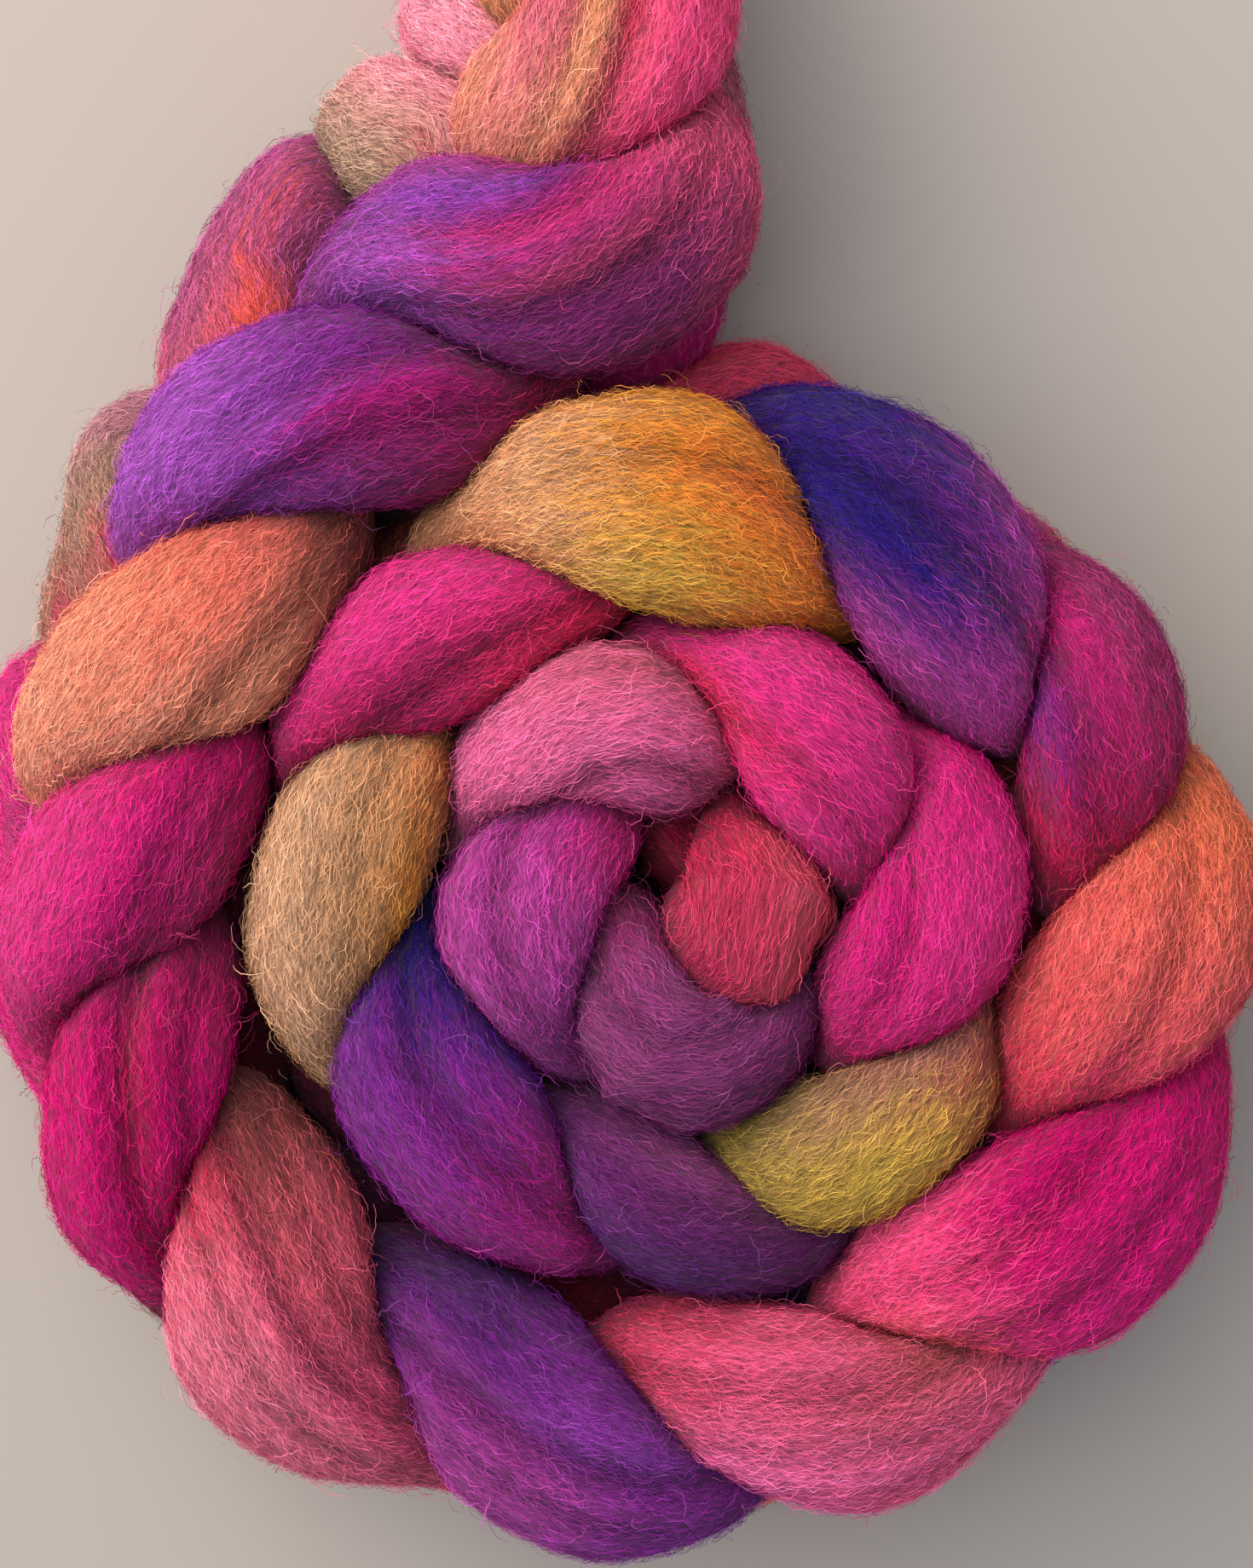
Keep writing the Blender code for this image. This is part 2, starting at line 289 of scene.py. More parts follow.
# %% The folds
# from, to: the stretch in lobes from the lobe's own crossing. angle: where it lies round the
# strand, in degrees, 90 being the crown. veer: how far it drifts on its way. depth and
# width: in millimetres and degrees.
FOLD_COLUMNS = ("lobe", "from", "to", "angle", "veer", "depth", "width")
FOLDS = (
    (2, -0.75, 0.60, 96, 10, 4.5, 9),
    (2, -0.75, 0.60, 62, 10, 2.5, 9),
    (3, -0.55, 0.60, 108, -16, 3.6, 9),
    (3, -0.50, 0.55, 60, -14, 2.2, 9),
    (4, -0.60, 0.60, 112, 14, 3.2, 10),
    (4, -0.50, 0.50, 66, 10, 1.8, 9),
    (5, -0.50, 0.60, 120, 10, 2.0, 10),
    (6, -0.60, 0.60, 108, -14, 2.8, 9),
    (7, -0.65, 0.70, 86, 8, 5.5, 9),
    (7, -0.60, 0.60, 128, -12, 2.2, 9),
    (8, -0.70, 0.65, 104, 16, 4.2, 9),
    (8, -0.60, 0.60, 64, 8, 3.0, 9),
    (8, -0.50, 0.60, 136, 8, 2.4, 9),
    (9, -0.70, 0.65, 86, 20, 5.5, 9),
    (9, -0.60, 0.60, 54, 10, 2.2, 9),
    (10, -0.60, 0.60, 112, -12, 3.2, 9),
    (10, -0.60, 0.60, 72, -8, 2.0, 9),
    (11, -0.65, 0.60, 112, 14, 2.0, 9),
    (11, -0.65, 0.50, 62, 8, 2.4, 9),
    (12, -0.60, 0.60, 84, 10, 2.6, 9),
    (13, -0.60, 0.60, 110, 10, 2.6, 9),
    (14, -0.60, 0.60, 74, 10, 2.6, 10),
    (15, -0.60, 0.50, 66, 8, 1.8, 9),
    (16, -0.55, 0.55, 112, 8, 2.0, 9),
    (17, -0.55, 0.55, 96, 8, 1.8, 9),
    (18, -0.70, 0.65, 92, 14, 4.8, 9),
    (19, -0.60, 0.60, 100, 8, 1.8, 9),
    (21, -0.60, 0.55, 112, 8, 2.8, 9),
    (22, -0.55, 0.55, 98, -10, 1.0, 10),
    (23, -0.60, 0.50, 124, 8, 3.0, 9),
    (24, -0.50, 0.50, 70, 8, 2.0, 10),
)
print(len(FOLDS), "long folds, each a row of", ", ".join(FOLD_COLUMNS))

# %% Folding the strands
SMALL_FOLDS_EVERY = 1.5          # in lobes
SMALL_FOLDS_AT_ONCE = 4
SMALL_FOLD_REACH = (0.35, 0.8)   # in lobes, to either side
SMALL_FOLD_VEER = 25             # in degrees, either way
SMALL_FOLD_DEPTH = (0.5, 1.6)    # in millimetres
SMALL_FOLD_WIDTH = (6.0, 11.0)   # in degrees
FOLD_EASE = 0.7                  # the lower, the sooner a fold reaches its full depth
FOLD_SEED = 11


def fold_rows(strand):
    """This strand's rows of the table, and its small folds, sown from a seed."""
    rows = [row for row in FOLDS if row[0] % STRANDS == strand]
    rng = np.random.default_rng(FOLD_SEED + strand)
    for lobe in np.arange(strand - SMALL_FOLDS_EVERY, len(LOBES), SMALL_FOLDS_EVERY):
        for _ in range(SMALL_FOLDS_AT_ONCE):
            reach = rng.uniform(*SMALL_FOLD_REACH)
            angle = rng.uniform(0, 360)
            veer = rng.uniform(-SMALL_FOLD_VEER, SMALL_FOLD_VEER)
            deep = rng.uniform(*SMALL_FOLD_DEPTH)
            width = rng.uniform(*SMALL_FOLD_WIDTH)
            rows.append((lobe, -reach, reach, angle, veer, deep, width))
    return rows


def band(angle, width):
    """A soft band along a strand: 1 at an angle round it, and less to both sides."""
    away = (SIDE_ANGLES[None] - angle + np.pi) % (2 * np.pi) - np.pi
    return np.exp(-((away / np.radians(width)) ** 2))


def folded(s):
    """How deep the folds press into each point of a strand, in metres."""
    depth = np.zeros_like(s["radius"])
    for lobe, start, end, angle, veer, deep, width in fold_rows(s["strand"]):
        share = (s["place"] - lobe - start) / (end - start)
        inside = (share > 0) & (share < 1)
        middle = np.radians(angle + veer * (share[inside] - 0.5))
        swelling = np.sin(np.pi * share[inside]) ** FOLD_EASE
        depth[inside] += deep * MM * swelling[:, None] * band(middle[:, None], width)
    return depth


for s in strands:
    s["folds"] = folded(s)
    print("Folds reach", round(s["folds"].max() / MM, 1), "mm into strand", s["strand"] + 1)

# %% Lumps
LUMP_WAVES = 14
LUMP_SIZE = 0.035                # of the strand's radius
LUMP_LENGTHS = (14 * MM, 70 * MM)
LUMP_TURNS = (0, 4)              # how often a wave goes round the strand: fewer than four times
LUMP_SEED = 29


def lumpy(s):
    """Gentle swellings and thin places, as a factor on the radius."""
    rng = np.random.default_rng(LUMP_SEED + s["strand"])
    reach = np.linspace(0.0, s["length"], len(s["place"]))[:, None]
    total = np.zeros_like(s["radius"])
    for _ in range(LUMP_WAVES):
        wave = 2 * np.pi * reach / rng.uniform(*LUMP_LENGTHS)
        wave = wave + rng.integers(*LUMP_TURNS) * SIDE_ANGLES[None]
        total += np.cos(wave + rng.uniform(0, 2 * np.pi))
    return 1.0 + LUMP_SIZE * total / math.sqrt(LUMP_WAVES / 2)


for s in strands:
    lumps = lumpy(s)
    s["soft"] = s["radius"] * lumps - s["folds"]
    print("Strand", s["strand"] + 1, "is", round(lumps.min(), 2), "to", round(lumps.max(), 2), "of its size.")

# %% [markdown]
# ## Pressing the strands together
#
# Soft wool never cuts through soft wool: where two strands meet, each gives way, and a
# creased valley forms between two plump shoulders. A cloth simulation would find the same
# shape slowly. Here each point of a ring asks every nearby strand how far it may go before
# it is nearer to that one, and stays inside, with a rounded shoulder. The floor presses in
# the same way from below, and the weight above makes a strand's foot swell into the small
# gaps beside it.

# %% What presses on a strand
NEAR = 58 * MM           # strands further off than this don't press
OWN_STRETCH = 1.3        # lobes along its own strand that don't press
SHOULDER = 6.5           # the higher, the sharper the valley's shoulders
FACING = 0.02            # how squarely a point has to face a wall to be stopped by it
FREE_ROOM = 1.0          # in metres, where nothing stops it
HAIR_GAP = 0.12 * MM     # a strand stops this far short of the wall between it and the next


def reach_towards(s, index, way):
    """A strand's oval radius at some rings, towards a way across it."""
    side = dot(s["sideways"][index], way)
    rise = dot(s["upright"][index], way)
    size = np.maximum(np.hypot(side, rise), TINY)
    return 1.0 / np.hypot(side / size / s["thick"][index], rise / size / s["broad"][index])


def softly_least(a, b, sharpness):
    """The lesser of two distances, with a rounded corner where they are alike."""
    return (a ** -sharpness + b ** -sharpness) ** (-1.0 / sharpness)


def room_to(wall, facing):
    """How far a point may go: to a wall this far off, which it faces this squarely."""
    return np.where(facing > FACING, wall / np.maximum(facing, FACING), FREE_ROOM)


def room_beside(s, ring):
    """How far each point of a ring may go before it meets other wool."""
    middle = s["middle"][ring]
    room = np.full(SIDES, FREE_ROOM)
    for other in strands:
        apart = other["middle"] - middle
        near = np.linalg.norm(apart, axis=-1) < NEAR
        if other is s:
            near &= np.abs(other["place"] - s["place"][ring]) > OWN_STRETCH
        index = np.flatnonzero(near)
        if not len(index):
            continue
        apart = apart[index]
        distance = np.linalg.norm(apart, axis=-1)
        way = apart / distance[:, None]
        own = reach_towards(s, np.full(len(index), ring), way)
        theirs = reach_towards(other, index, way)
        wall = (distance ** 2 + own ** 2 - theirs ** 2) / (2 * distance) - HAIR_GAP
        meets = room_to(np.maximum(wall, 0.0)[None], s["ways"][ring] @ way.T)
        room = np.minimum(room, meets.min(axis=1))
    return room


def blurred(field):
    """Each point's value averaged with its neighbours', round the ring and along."""
    around = (np.roll(field, 1, axis=1) + 2 * field + np.roll(field, -1, axis=1)) / 4
    ends = np.concatenate([around[:1], around, around[-1:]])
    return (ends[:-2] + 2 * ends[1:-1] + ends[2:]) / 4


print("Two walls 10 mm off meet in a shoulder", round(softly_least(10.0, 10.0, SHOULDER), 1), "mm off.")

# %% Pressing the three strands
LEAST_RADIUS = 0.22      # of its own, that a strand keeps however hard it is pressed
FOOT_SPREAD = 8 * MM     # how far a strand's foot swells into a gap beside other wool
FOOT_EASE = 1.5          # the higher, the more of the swelling lies at the very foot
GAP_REACH = 2.6          # gaps wider than this, in radii, stay open
FLOOR_SHOULDER = 2 * SHOULDER


def rounded_off(count):
    """The size of each ring beside its full size, less where the two ends are rounded."""
    from_end = np.minimum(np.arange(count), np.arange(count)[::-1])
    inward = 1.0 - np.minimum((from_end + 0.5) / CAP_RINGS, 1.0)
    return np.sqrt(1.0 - inward ** 2)


for s in strands:
    room = np.array([room_beside(s, ring) for ring in range(len(s["place"]))])
    room = np.maximum(blurred(room), LEAST_RADIUS * s["radius"])
    foot = (1.0 - np.cos(turn_of(s["strand"], s["place"])))[:, None] / 2
    spread = FOOT_SPREAD * foot ** FOOT_EASE * (room < GAP_REACH * s["radius"])
    pressed = softly_least(s["soft"] + blurred(blurred(spread)), room, SHOULDER)
    floor_room = room_to(s["middle"][:, None, 2], -s["ways"][..., 2])
    pressed = softly_least(pressed, floor_room, FLOOR_SHOULDER)
    s["pressed"] = blurred(pressed) * rounded_off(len(room))[:, None]
    print("Strand", s["strand"] + 1, "is pressed over", round(float((room < s["radius"]).mean()), 2))

# %% [markdown]
# ## Into the packed frame
#
# The packed solid stands in the middle of its own box, and its lowest lobes rest at z = 0.
# Our strands still lie about the middle of the crown. They are moved sideways once, so that
# the middle of their box falls on the middle of the solid's. Their height stays: what rests
# on the table has to go on resting there.

# %% The wool's points
shapes = [s["middle"][:, None] + s["ways"] * s["pressed"][..., None] for s in strands]
strand_low = np.min([shape.min(axis=(0, 1)) for shape in shapes], axis=0)
strand_high = np.max([shape.max(axis=(0, 1)) for shape in shapes], axis=0)
node_low, node_high = (np.array(corner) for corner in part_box("roving_braid"))
to_frame = (node_low + node_high) / 2 - (strand_low + strand_high) / 2
to_frame[2] = 0.0
for s, shape in zip(strands, shapes):
    points = shape + to_frame
    points[..., 2] = np.maximum(points[..., 2], 0.0)
    s["points"] = points
print("Moved by", np.round(to_frame / MM, 1), "mm; the wool spans",
      np.round((strand_high - strand_low) / MM, 1), "mm.")

# %% [markdown]
# ## Where the wool is open to the air
#
# Light and loose fibres both need room. For each point of a strand, rays go out over the
# upper sky, and the share that gets away is kept. The dyes are painted darker where little
# sky shows: painted shade in the creases. Loose fibres are later combed over the open parts
# alone. Blender could work this out in the material, with its Ambient Occlusion node, but
# we need the numbers here, where the fibres take root.

# %% Rays over the sky
SKY_RINGS = ((50, 6), (12, 8))   # degrees above the level, and how many rays leave there
SKY_STEP = 2                     # every second ring and side is tried
SKY_LIFT = 0.6 * MM              # how far over the wool a ray starts
SKY_REACH = 0.12                 # how far it goes, in metres
SKY_GRAZE = 0.05                 # rays that leave flatter than this aren't sent


def sky_ways():
    """Ways into the sky: straight up, and in rings round that."""
    ways = [(0.0, 0.0, 1.0)]
    for degrees, count in SKY_RINGS:
        rise = math.radians(degrees)
        for number in range(count):
            turn = 2 * math.pi * (number + rise) / count
            level = math.cos(rise)
            ways.append((math.cos(turn) * level, math.sin(turn) * level, math.sin(rise)))
    return ways


SKY_WAYS = sky_ways()
print(len(SKY_WAYS), "rays leave each point.")

# %% Where the strands are open to the air
def slopes(grid):
    """How a field on a strand changes from ring to ring and from side to side."""
    from_ring = np.gradient(grid, axis=0)
    from_side = (np.roll(grid, -1, axis=1) - np.roll(grid, 1, axis=1)) / 2
    return from_ring, from_side


def all_wool():
    """A search tree over the rings of all three strands."""
    corners = []
    faces = []
    for s in strands:
        start = len(corners)
        corners += s["points"].reshape(-1, 3).tolist()
        for ring in range(len(s["place"]) - 1):
            first = start + ring * SIDES
            for side in range(SIDES):
                near, beside = first + side, first + (side + 1) % SIDES
                faces.append((near, near + SIDES, beside + SIDES, beside))
    return BVHTree.FromPolygons(corners, faces)


def openness(s, wool):
    """The share of the sky that each point of a strand sees."""
    points = s["points"][::SKY_STEP, ::SKY_STEP]
    normals = s["normals"][::SKY_STEP, ::SKY_STEP]
    seen = np.zeros(points.shape[:2])
    for ring in range(points.shape[0]):
        for side in range(points.shape[1]):
            normal = Vector(normals[ring, side])
            start = Vector(points[ring, side]) + normal * SKY_LIFT
            for way in SKY_WAYS:
                if normal.dot(way) <= SKY_GRAZE:
                    continue
                if wool.ray_cast(start, Vector(way), SKY_REACH)[0] is None:
                    seen[ring, side] += 1.0 / len(SKY_WAYS)
    full = np.repeat(np.repeat(seen, SKY_STEP, axis=0), SKY_STEP, axis=1)
    return blurred(full[:len(s["place"])])


wool_tree = all_wool()
for s in strands:
    from_ring, from_side = slopes(s["points"])
    s["ring_step"] = np.linalg.norm(from_ring, axis=-1)
    s["side_step"] = np.linalg.norm(from_side, axis=-1)
    s["normals"] = unit(np.cross(from_ring, from_side))
    s["open"] = openness(s, wool_tree)
    print("Strand", s["strand"] + 1, "sees", round(float(s["open"].mean()), 3), "of the sky.")

# %% [markdown]
# ## Dyes
#
# The dyer laid the combed top flat and poured short runs of colour on it, so the colour
# changes along a strand and, less, across it. Each lobe gets six dyes: at its start, middle
# and end, for the side that lies towards the tail and the side towards the heart. What dives
# under the crown gets four more. The dyes are named, so that the table reads as a recipe.

# %% The dyer's shelf
DYES = {
    # pinks
    "magenta": (0.78, 0.07, 0.48), "deep_magenta": (0.74, 0.01, 0.42),
    "warm_magenta": (0.76, 0.15, 0.50), "hot_pink": (0.82, 0.18, 0.52),
    "pink_red": (0.86, 0.16, 0.36), "bright_rose": (0.98, 0.30, 0.54), "rose_red": (0.88, 0.27, 0.42),
    "hot_rose": (0.88, 0.35, 0.53), "rose": (0.80, 0.29, 0.47), "dusty_rose": (0.80, 0.37, 0.50),
    "soft_rose": (0.89, 0.46, 0.57), "pale_rose": (0.97, 0.60, 0.70),
    "salmon_pink": (0.90, 0.44, 0.50), "orchid_pink": (0.90, 0.41, 0.66),
    # reds
    "crimson": (0.74, 0.11, 0.32), "crimson_rose": (0.74, 0.21, 0.34),
    "raspberry": (0.60, 0.10, 0.35), "rose_plum": (0.60, 0.17, 0.42), "wine": (0.46, 0.09, 0.26),
    "dark_red": (0.58, 0.07, 0.20),
    # corals and oranges
    "coral": (0.86, 0.38, 0.36), "coral_rose": (0.82, 0.34, 0.43), "brown_coral": (0.64, 0.32, 0.30),
    "burnt_coral": (0.86, 0.44, 0.29), "salmon": (0.88, 0.50, 0.40), "salmon_tan": (0.86, 0.56, 0.44),
    "pink_peach": (0.88, 0.57, 0.48), "peach": (0.86, 0.60, 0.42), "pale_peach": (0.96, 0.72, 0.60),
    "red_orange": (0.92, 0.34, 0.20), "orange": (0.93, 0.45, 0.20),
    "amber_orange": (0.92, 0.51, 0.18), "golden_orange": (0.88, 0.52, 0.14),
    # golds, tans and browns
    "amber": (0.81, 0.54, 0.18), "olive_gold": (0.80, 0.66, 0.28), "olive": (0.66, 0.56, 0.24),
    "golden_brown": (0.62, 0.43, 0.14), "sienna": (0.64, 0.38, 0.22), "umber": (0.46, 0.21, 0.22),
    "tan": (0.73, 0.53, 0.36), "tan_orange": (0.86, 0.54, 0.34), "pale_tan": (0.80, 0.63, 0.50),
    "dull_tan": (0.64, 0.49, 0.34), "pale_stone": (0.66, 0.56, 0.48),
    # mauves
    "mauve_tan": (0.66, 0.44, 0.40), "mauve_grey": (0.61, 0.50, 0.42),
    "mauve_rose": (0.66, 0.31, 0.42), "dusty_mauve": (0.72, 0.46, 0.58),
    "plum_mauve": (0.52, 0.22, 0.46), "rose_orchid": (0.64, 0.30, 0.52),
    # purples and violets
    "orchid": (0.62, 0.22, 0.57), "bright_orchid": (0.68, 0.24, 0.60),
    "purple_pink": (0.64, 0.16, 0.54), "purple": (0.48, 0.14, 0.55), "lilac": (0.56, 0.24, 0.66),
    "violet": (0.50, 0.22, 0.66), "bright_violet": (0.62, 0.30, 0.72),
    "blue_violet": (0.36, 0.14, 0.56),
    # darks
    "plum": (0.42, 0.12, 0.36), "dark_plum": (0.35, 0.12, 0.36), "night_plum": (0.26, 0.11, 0.38),
    "navy": (0.12, 0.05, 0.44),
}
print(len(DYES), "dyes on the shelf.")

# %% The dyes of each lobe
# For each lobe, from where it rises on the inner side to where it dips on the outer side:
# start, middle and end, each first towards the tail, then towards the heart.
# Darker dyes at some heartward starts beside the creases, such as umber and night_plum, are partly dye and
# partly painted shade.
CROWN_DYES = (
    ("rose", "rose", "magenta", "rose", "magenta", "magenta"),
    ("magenta", "rose", "rose", "hot_pink", "peach", "tan"),
    ("rose", "rose_red", "salmon_pink", "bright_rose", "pink_peach", "rose"),
    ("rose", "rose", "rose_plum", "plum", "orchid", "purple"),
    ("plum", "raspberry", "purple", "plum", "bright_violet", "violet"),
    ("coral", "umber", "salmon", "salmon_tan", "pink_peach", "pale_peach"),
    ("crimson", "deep_magenta", "hot_pink", "raspberry", "hot_pink", "raspberry"),
    ("rose_plum", "raspberry", "deep_magenta", "deep_magenta", "magenta", "deep_magenta"),
    ("pink_red", "umber", "soft_rose", "coral_rose", "dusty_rose", "rose"),
    ("purple", "night_plum", "orchid", "purple", "purple", "purple"),
    ("rose", "crimson_rose", "orchid_pink", "hot_rose", "hot_rose", "brown_coral"),
    ("coral", "bright_rose", "magenta", "deep_magenta", "deep_magenta", "deep_magenta"),
    ("hot_pink", "pink_red", "coral", "coral", "burnt_coral", "burnt_coral"),
    ("crimson", "crimson", "raspberry", "raspberry", "rose_plum", "magenta"),
    ("warm_magenta", "purple_pink", "bright_orchid", "bright_orchid", "navy", "navy"),
    ("amber_orange", "amber_orange", "amber", "olive_gold", "peach", "peach"),
    ("hot_pink", "pink_red", "hot_pink", "raspberry", "hot_pink", "crimson"),
    ("tan", "tan_orange", "pale_tan", "tan", "pale_tan", "tan"),
    ("navy", "navy", "purple", "purple", "purple_pink", "magenta"),
    ("purple", "dark_plum", "dark_plum", "plum_mauve", "dark_plum", "dark_plum"),
    ("olive", "olive", "olive_gold", "dull_tan", "brown_coral", "mauve_tan"),
    ("deep_magenta", "hot_pink", "hot_pink", "magenta", "magenta", "hot_pink"),
    ("magenta", "hot_pink", "hot_pink", "hot_pink", "hot_pink", "pink_red"),
    ("orchid_pink", "rose", "dusty_rose", "orchid_pink", "orchid_pink", "orchid_pink"),
    ("purple_pink", "warm_magenta", "bright_orchid", "bright_orchid", "orchid", "orchid"),
    ("plum_mauve", "rose_plum", "plum_mauve", "plum_mauve", "plum", "plum_mauve"),
    ("crimson_rose", "raspberry", "coral_rose", "crimson_rose", "crimson", "crimson"),
    ("crimson", "pink_red", "crimson", "crimson", "crimson", "crimson"),
)
# The same strand after that lobe: as it dives through the plait, under the inner side, where
# it shows as a foot outside the crown, and as it rises again.
HIDDEN_DYES = (
    ("magenta", "rose", "pale_rose", "dusty_rose"),
    ("mauve_rose", "pale_stone", "pale_stone", "crimson"),
    ("magenta", "purple_pink", "rose_orchid", "coral"),
    ("plum", "dusty_mauve", "mauve_grey", "crimson"),
    ("rose_plum", "hot_pink", "hot_pink", "plum"),
    ("coral", "magenta", "magenta", "brown_coral"),
    ("dark_red", "raspberry", "wine", "plum"),
    ("plum", "wine", "rose", "hot_pink"),
    ("dark_red", "hot_pink", "coral", "coral"),
    ("dark_plum", "blue_violet", "violet", "pink_red"),
    ("plum", "tan", "coral", "magenta"),
    ("crimson", "olive", "olive_gold", "purple_pink"),
    ("coral", "orange", "purple_pink", "golden_orange"),
    ("rose_plum", "crimson", "rose_red", "crimson"),
    ("dark_plum", "violet", "coral", "golden_brown"),
    ("brown_coral", "coral", "magenta", "navy"),
    ("dark_red", "rose", "wine", "plum"),
    ("golden_brown", "wine", "plum", "olive"),
    ("dark_plum", "dark_red", "magenta", "magenta"),
    ("night_plum", "dark_plum", "hot_pink", "hot_pink"),
    ("brown_coral", "plum", "crimson", "dusty_rose"),
    ("magenta", "plum", "rose_plum", "orchid"),
    ("crimson", "dark_red", "plum", "plum_mauve"),
    ("plum_mauve", "dark_plum", "crimson", "crimson_rose"),
    ("plum", "dark_plum", "dark_red", "dark_red"),
    ("plum", "dark_plum", "dark_plum", "dark_plum"),
    ("dark_red", "dark_red", "dark_red", "dark_red"),
    ("dark_red", "dark_red", "dark_red", "dark_red"),
)
CROWN_STATIONS = (-0.42, 0.0, 0.42)         # where those dyes lie, in lobes from the crossing
HIDDEN_STATIONS = (0.85, 1.45, 2.0, 2.35)
print(len(CROWN_DYES), "lobes have dyes on the crown, and", len(HIDDEN_DYES), "below it.")

# %% Streaks of dye
# Single streaks and pools of dye over those. from, to: the stretch in lobes from the lobe's
# crossing. angle: round the strand, in degrees. veer: how far it drifts on its way. width:
# in degrees. dose: the share that it covers.
STREAK_COLUMNS = ("lobe", "from", "to", "angle", "veer", "width", "dose", "dye")
STREAKS = (
    (1, 0.80, 1.75, 145, 0, 60, 0.9, "mauve_rose"),
    (1, 1.55, 2.35, 36, 0, 26, 0.9, "pale_rose"),
    (2, -0.90, 0.60, 74, 6, 13, 0.95, "peach"),
    (2, -0.90, 0.60, 94, 6, 8, 0.7, "pink_red"),
    (2, -0.90, 0.60, 42, 0, 18, 0.9, "dusty_rose"),
    (2, 1.88, 2.55, 54, 0, 30, 0.9, "red_orange"),
    (3, -0.50, 0.45, 64, -10, 17, 0.85, "hot_pink"),
    (3, -0.50, 0.40, 98, -12, 8, 0.7, "rose"),
    (3, -0.40, 0.30, 34, -10, 14, 0.7, "purple"),
    (3, -0.30, 0.15, 125, 0, 26, 0.7, "plum"),
    (3, 0.16, 0.75, 85, 0, 70, 0.85, "bright_violet"),
    (3, -0.10, 0.60, 38, 0, 14, 0.9, "violet"),
    (4, -0.40, 0.30, 95, 20, 20, 0.6, "magenta"),
    (5, -0.36, 0.24, 90, 0, 30, 0.7, "coral"),
    (5, -0.50, 0.02, 144, 0, 26, 0.7, "umber"),
    (6, -0.40, 0.50, 95, 0, 30, 0.8, "magenta"),
    (7, -0.50, 0.60, 60, 0, 22, 0.7, "deep_magenta"),
    (7, -0.45, 0.50, 92, 0, 14, 0.6, "dark_red"),
    (8, -0.30, 0.60, 100, 16, 14, 0.7, "rose"),
    (8, 0.20, 0.80, 100, 0, 50, 0.6, "rose"),
    (9, -0.20, 0.60, 110, 10, 26, 0.7, "lilac"),
    (11, -0.80, 0.14, 130, 0, 54, 0.95, "bright_rose"),
    (12, -0.60, -0.10, 60, 0, 40, 0.7, "pink_red"),
    (13, -0.05, 0.45, 140, 0, 34, 0.9, "purple"),
    (14, -0.14, 0.64, 95, 0, 50, 1.0, "navy"),
    (14, -0.50, -0.05, 120, 0, 40, 0.7, "bright_orchid"),
    (15, -0.50, 0.02, 70, 0, 40, 0.8, "orange"),
    (15, -0.10, 0.30, 150, 0, 30, 0.7, "olive_gold"),
    (15, 0.02, 0.50, 60, 0, 50, 0.6, "pale_tan"),
    (17, -0.30, 0.62, 138, -8, 17, 0.95, "amber"),
    (17, -0.70, 0.05, 146, 0, 22, 0.8, "sienna"),
    (18, -0.75, -0.10, 110, 0, 60, 0.95, "navy"),
    (18, -0.45, 0.45, 156, 0, 17, 0.85, "navy"),
    (18, 0.05, 0.60, 130, 0, 36, 0.7, "purple_pink"),
    (19, -0.30, 0.20, 50, 0, 30, 0.7, "night_plum"),
    (20, -0.20, 0.10, 60, 0, 40, 0.7, "olive"),
    (23, -0.60, -0.05, 150, 0, 34, 0.7, "plum_mauve"),
    (23, -0.20, 0.60, 150, 0, 30, 0.6, "rose_plum"),
)
print(len(STREAKS), "streaks, each a row of", ", ".join(STREAK_COLUMNS))

# %% [markdown]
# ## Pouring the dyes on
#
# Wet dye runs along the fibres and stops unevenly, so no run ends in a clean line. Between
# two named places one dye goes over into the next, and slow random waves push that border to
# and fro, from one streak of fibres to the next as well. We mix the dyes as amounts of light,
# since mixtures of the numbers that a colour picker shows come out too dark.

# %% Dyes along a strand
def linear(colour):
    """A colour as the eye orders it, turned into amounts of light."""
    colour = np.asarray(colour, float)
    return np.where(colour <= 0.04045, colour / 12.92, ((colour + 0.055) / 1.055) ** 2.4)


SHELF = {name: linear(colour) for name, colour in DYES.items()}


def stations(strand):
    """The places along one strand where its dyes are named: place, tailward, heartward."""
    rows = []
    for lobe in range(strand, len(LOBES), STRANDS):
        crown = CROWN_DYES[lobe]
        for step, offset in enumerate(CROWN_STATIONS):
            rows.append((lobe + offset, SHELF[crown[2 * step]], SHELF[crown[2 * step + 1]]))
        for step, offset in enumerate(HIDDEN_STATIONS):
            dye = SHELF[HIDDEN_DYES[lobe][step]]
            rows.append((lobe + offset, dye, dye))
    return [np.array(column) for column in zip(*rows)]


print("Strand 1 has", len(stations(0)[0]), "named places for its dyes.")

# %% Uneven borders
# How far a border wanders, how many waves of that there are along a strand, and how many
# times they go round it. The first two wander by lobes, the third by shares of the breadth.
RUN_JITTER = (0.10, (10, 50), (0, 3))      # the end of a run of dye
STREAK_JITTER = (0.05, (20, 60), (6, 19))  # the same from one streak of fibres to the next
SIDE_JITTER = (0.35, (10, 40), (0, 4))     # where the dyes of a strand's two sides meet
JITTER_WAVES = 10
ANY_PHASE = 7.0                            # in radians, a little over a whole wave


def wandering(shape, rng, size, lengths, turns):
    """A smooth random field on a strand, of waves along and round it."""
    along = np.linspace(0.0, 1.0, shape[0])[:, None]
    total = np.zeros(shape)
    for _ in range(JITTER_WAVES):
        wave = 2 * np.pi * along * rng.uniform(*lengths)
        wave = wave + rng.integers(*turns) * SIDE_ANGLES[None]
        total += np.cos(wave + rng.uniform(0, ANY_PHASE))
    return size * (total / math.sqrt(JITTER_WAVES / 2) / 2)


def eased(share):
    """A share from 0 to 1 that leaves and arrives slowly."""
    share = np.clip(share, 0.0, 1.0)
    return share * share * (3 - 2 * share)


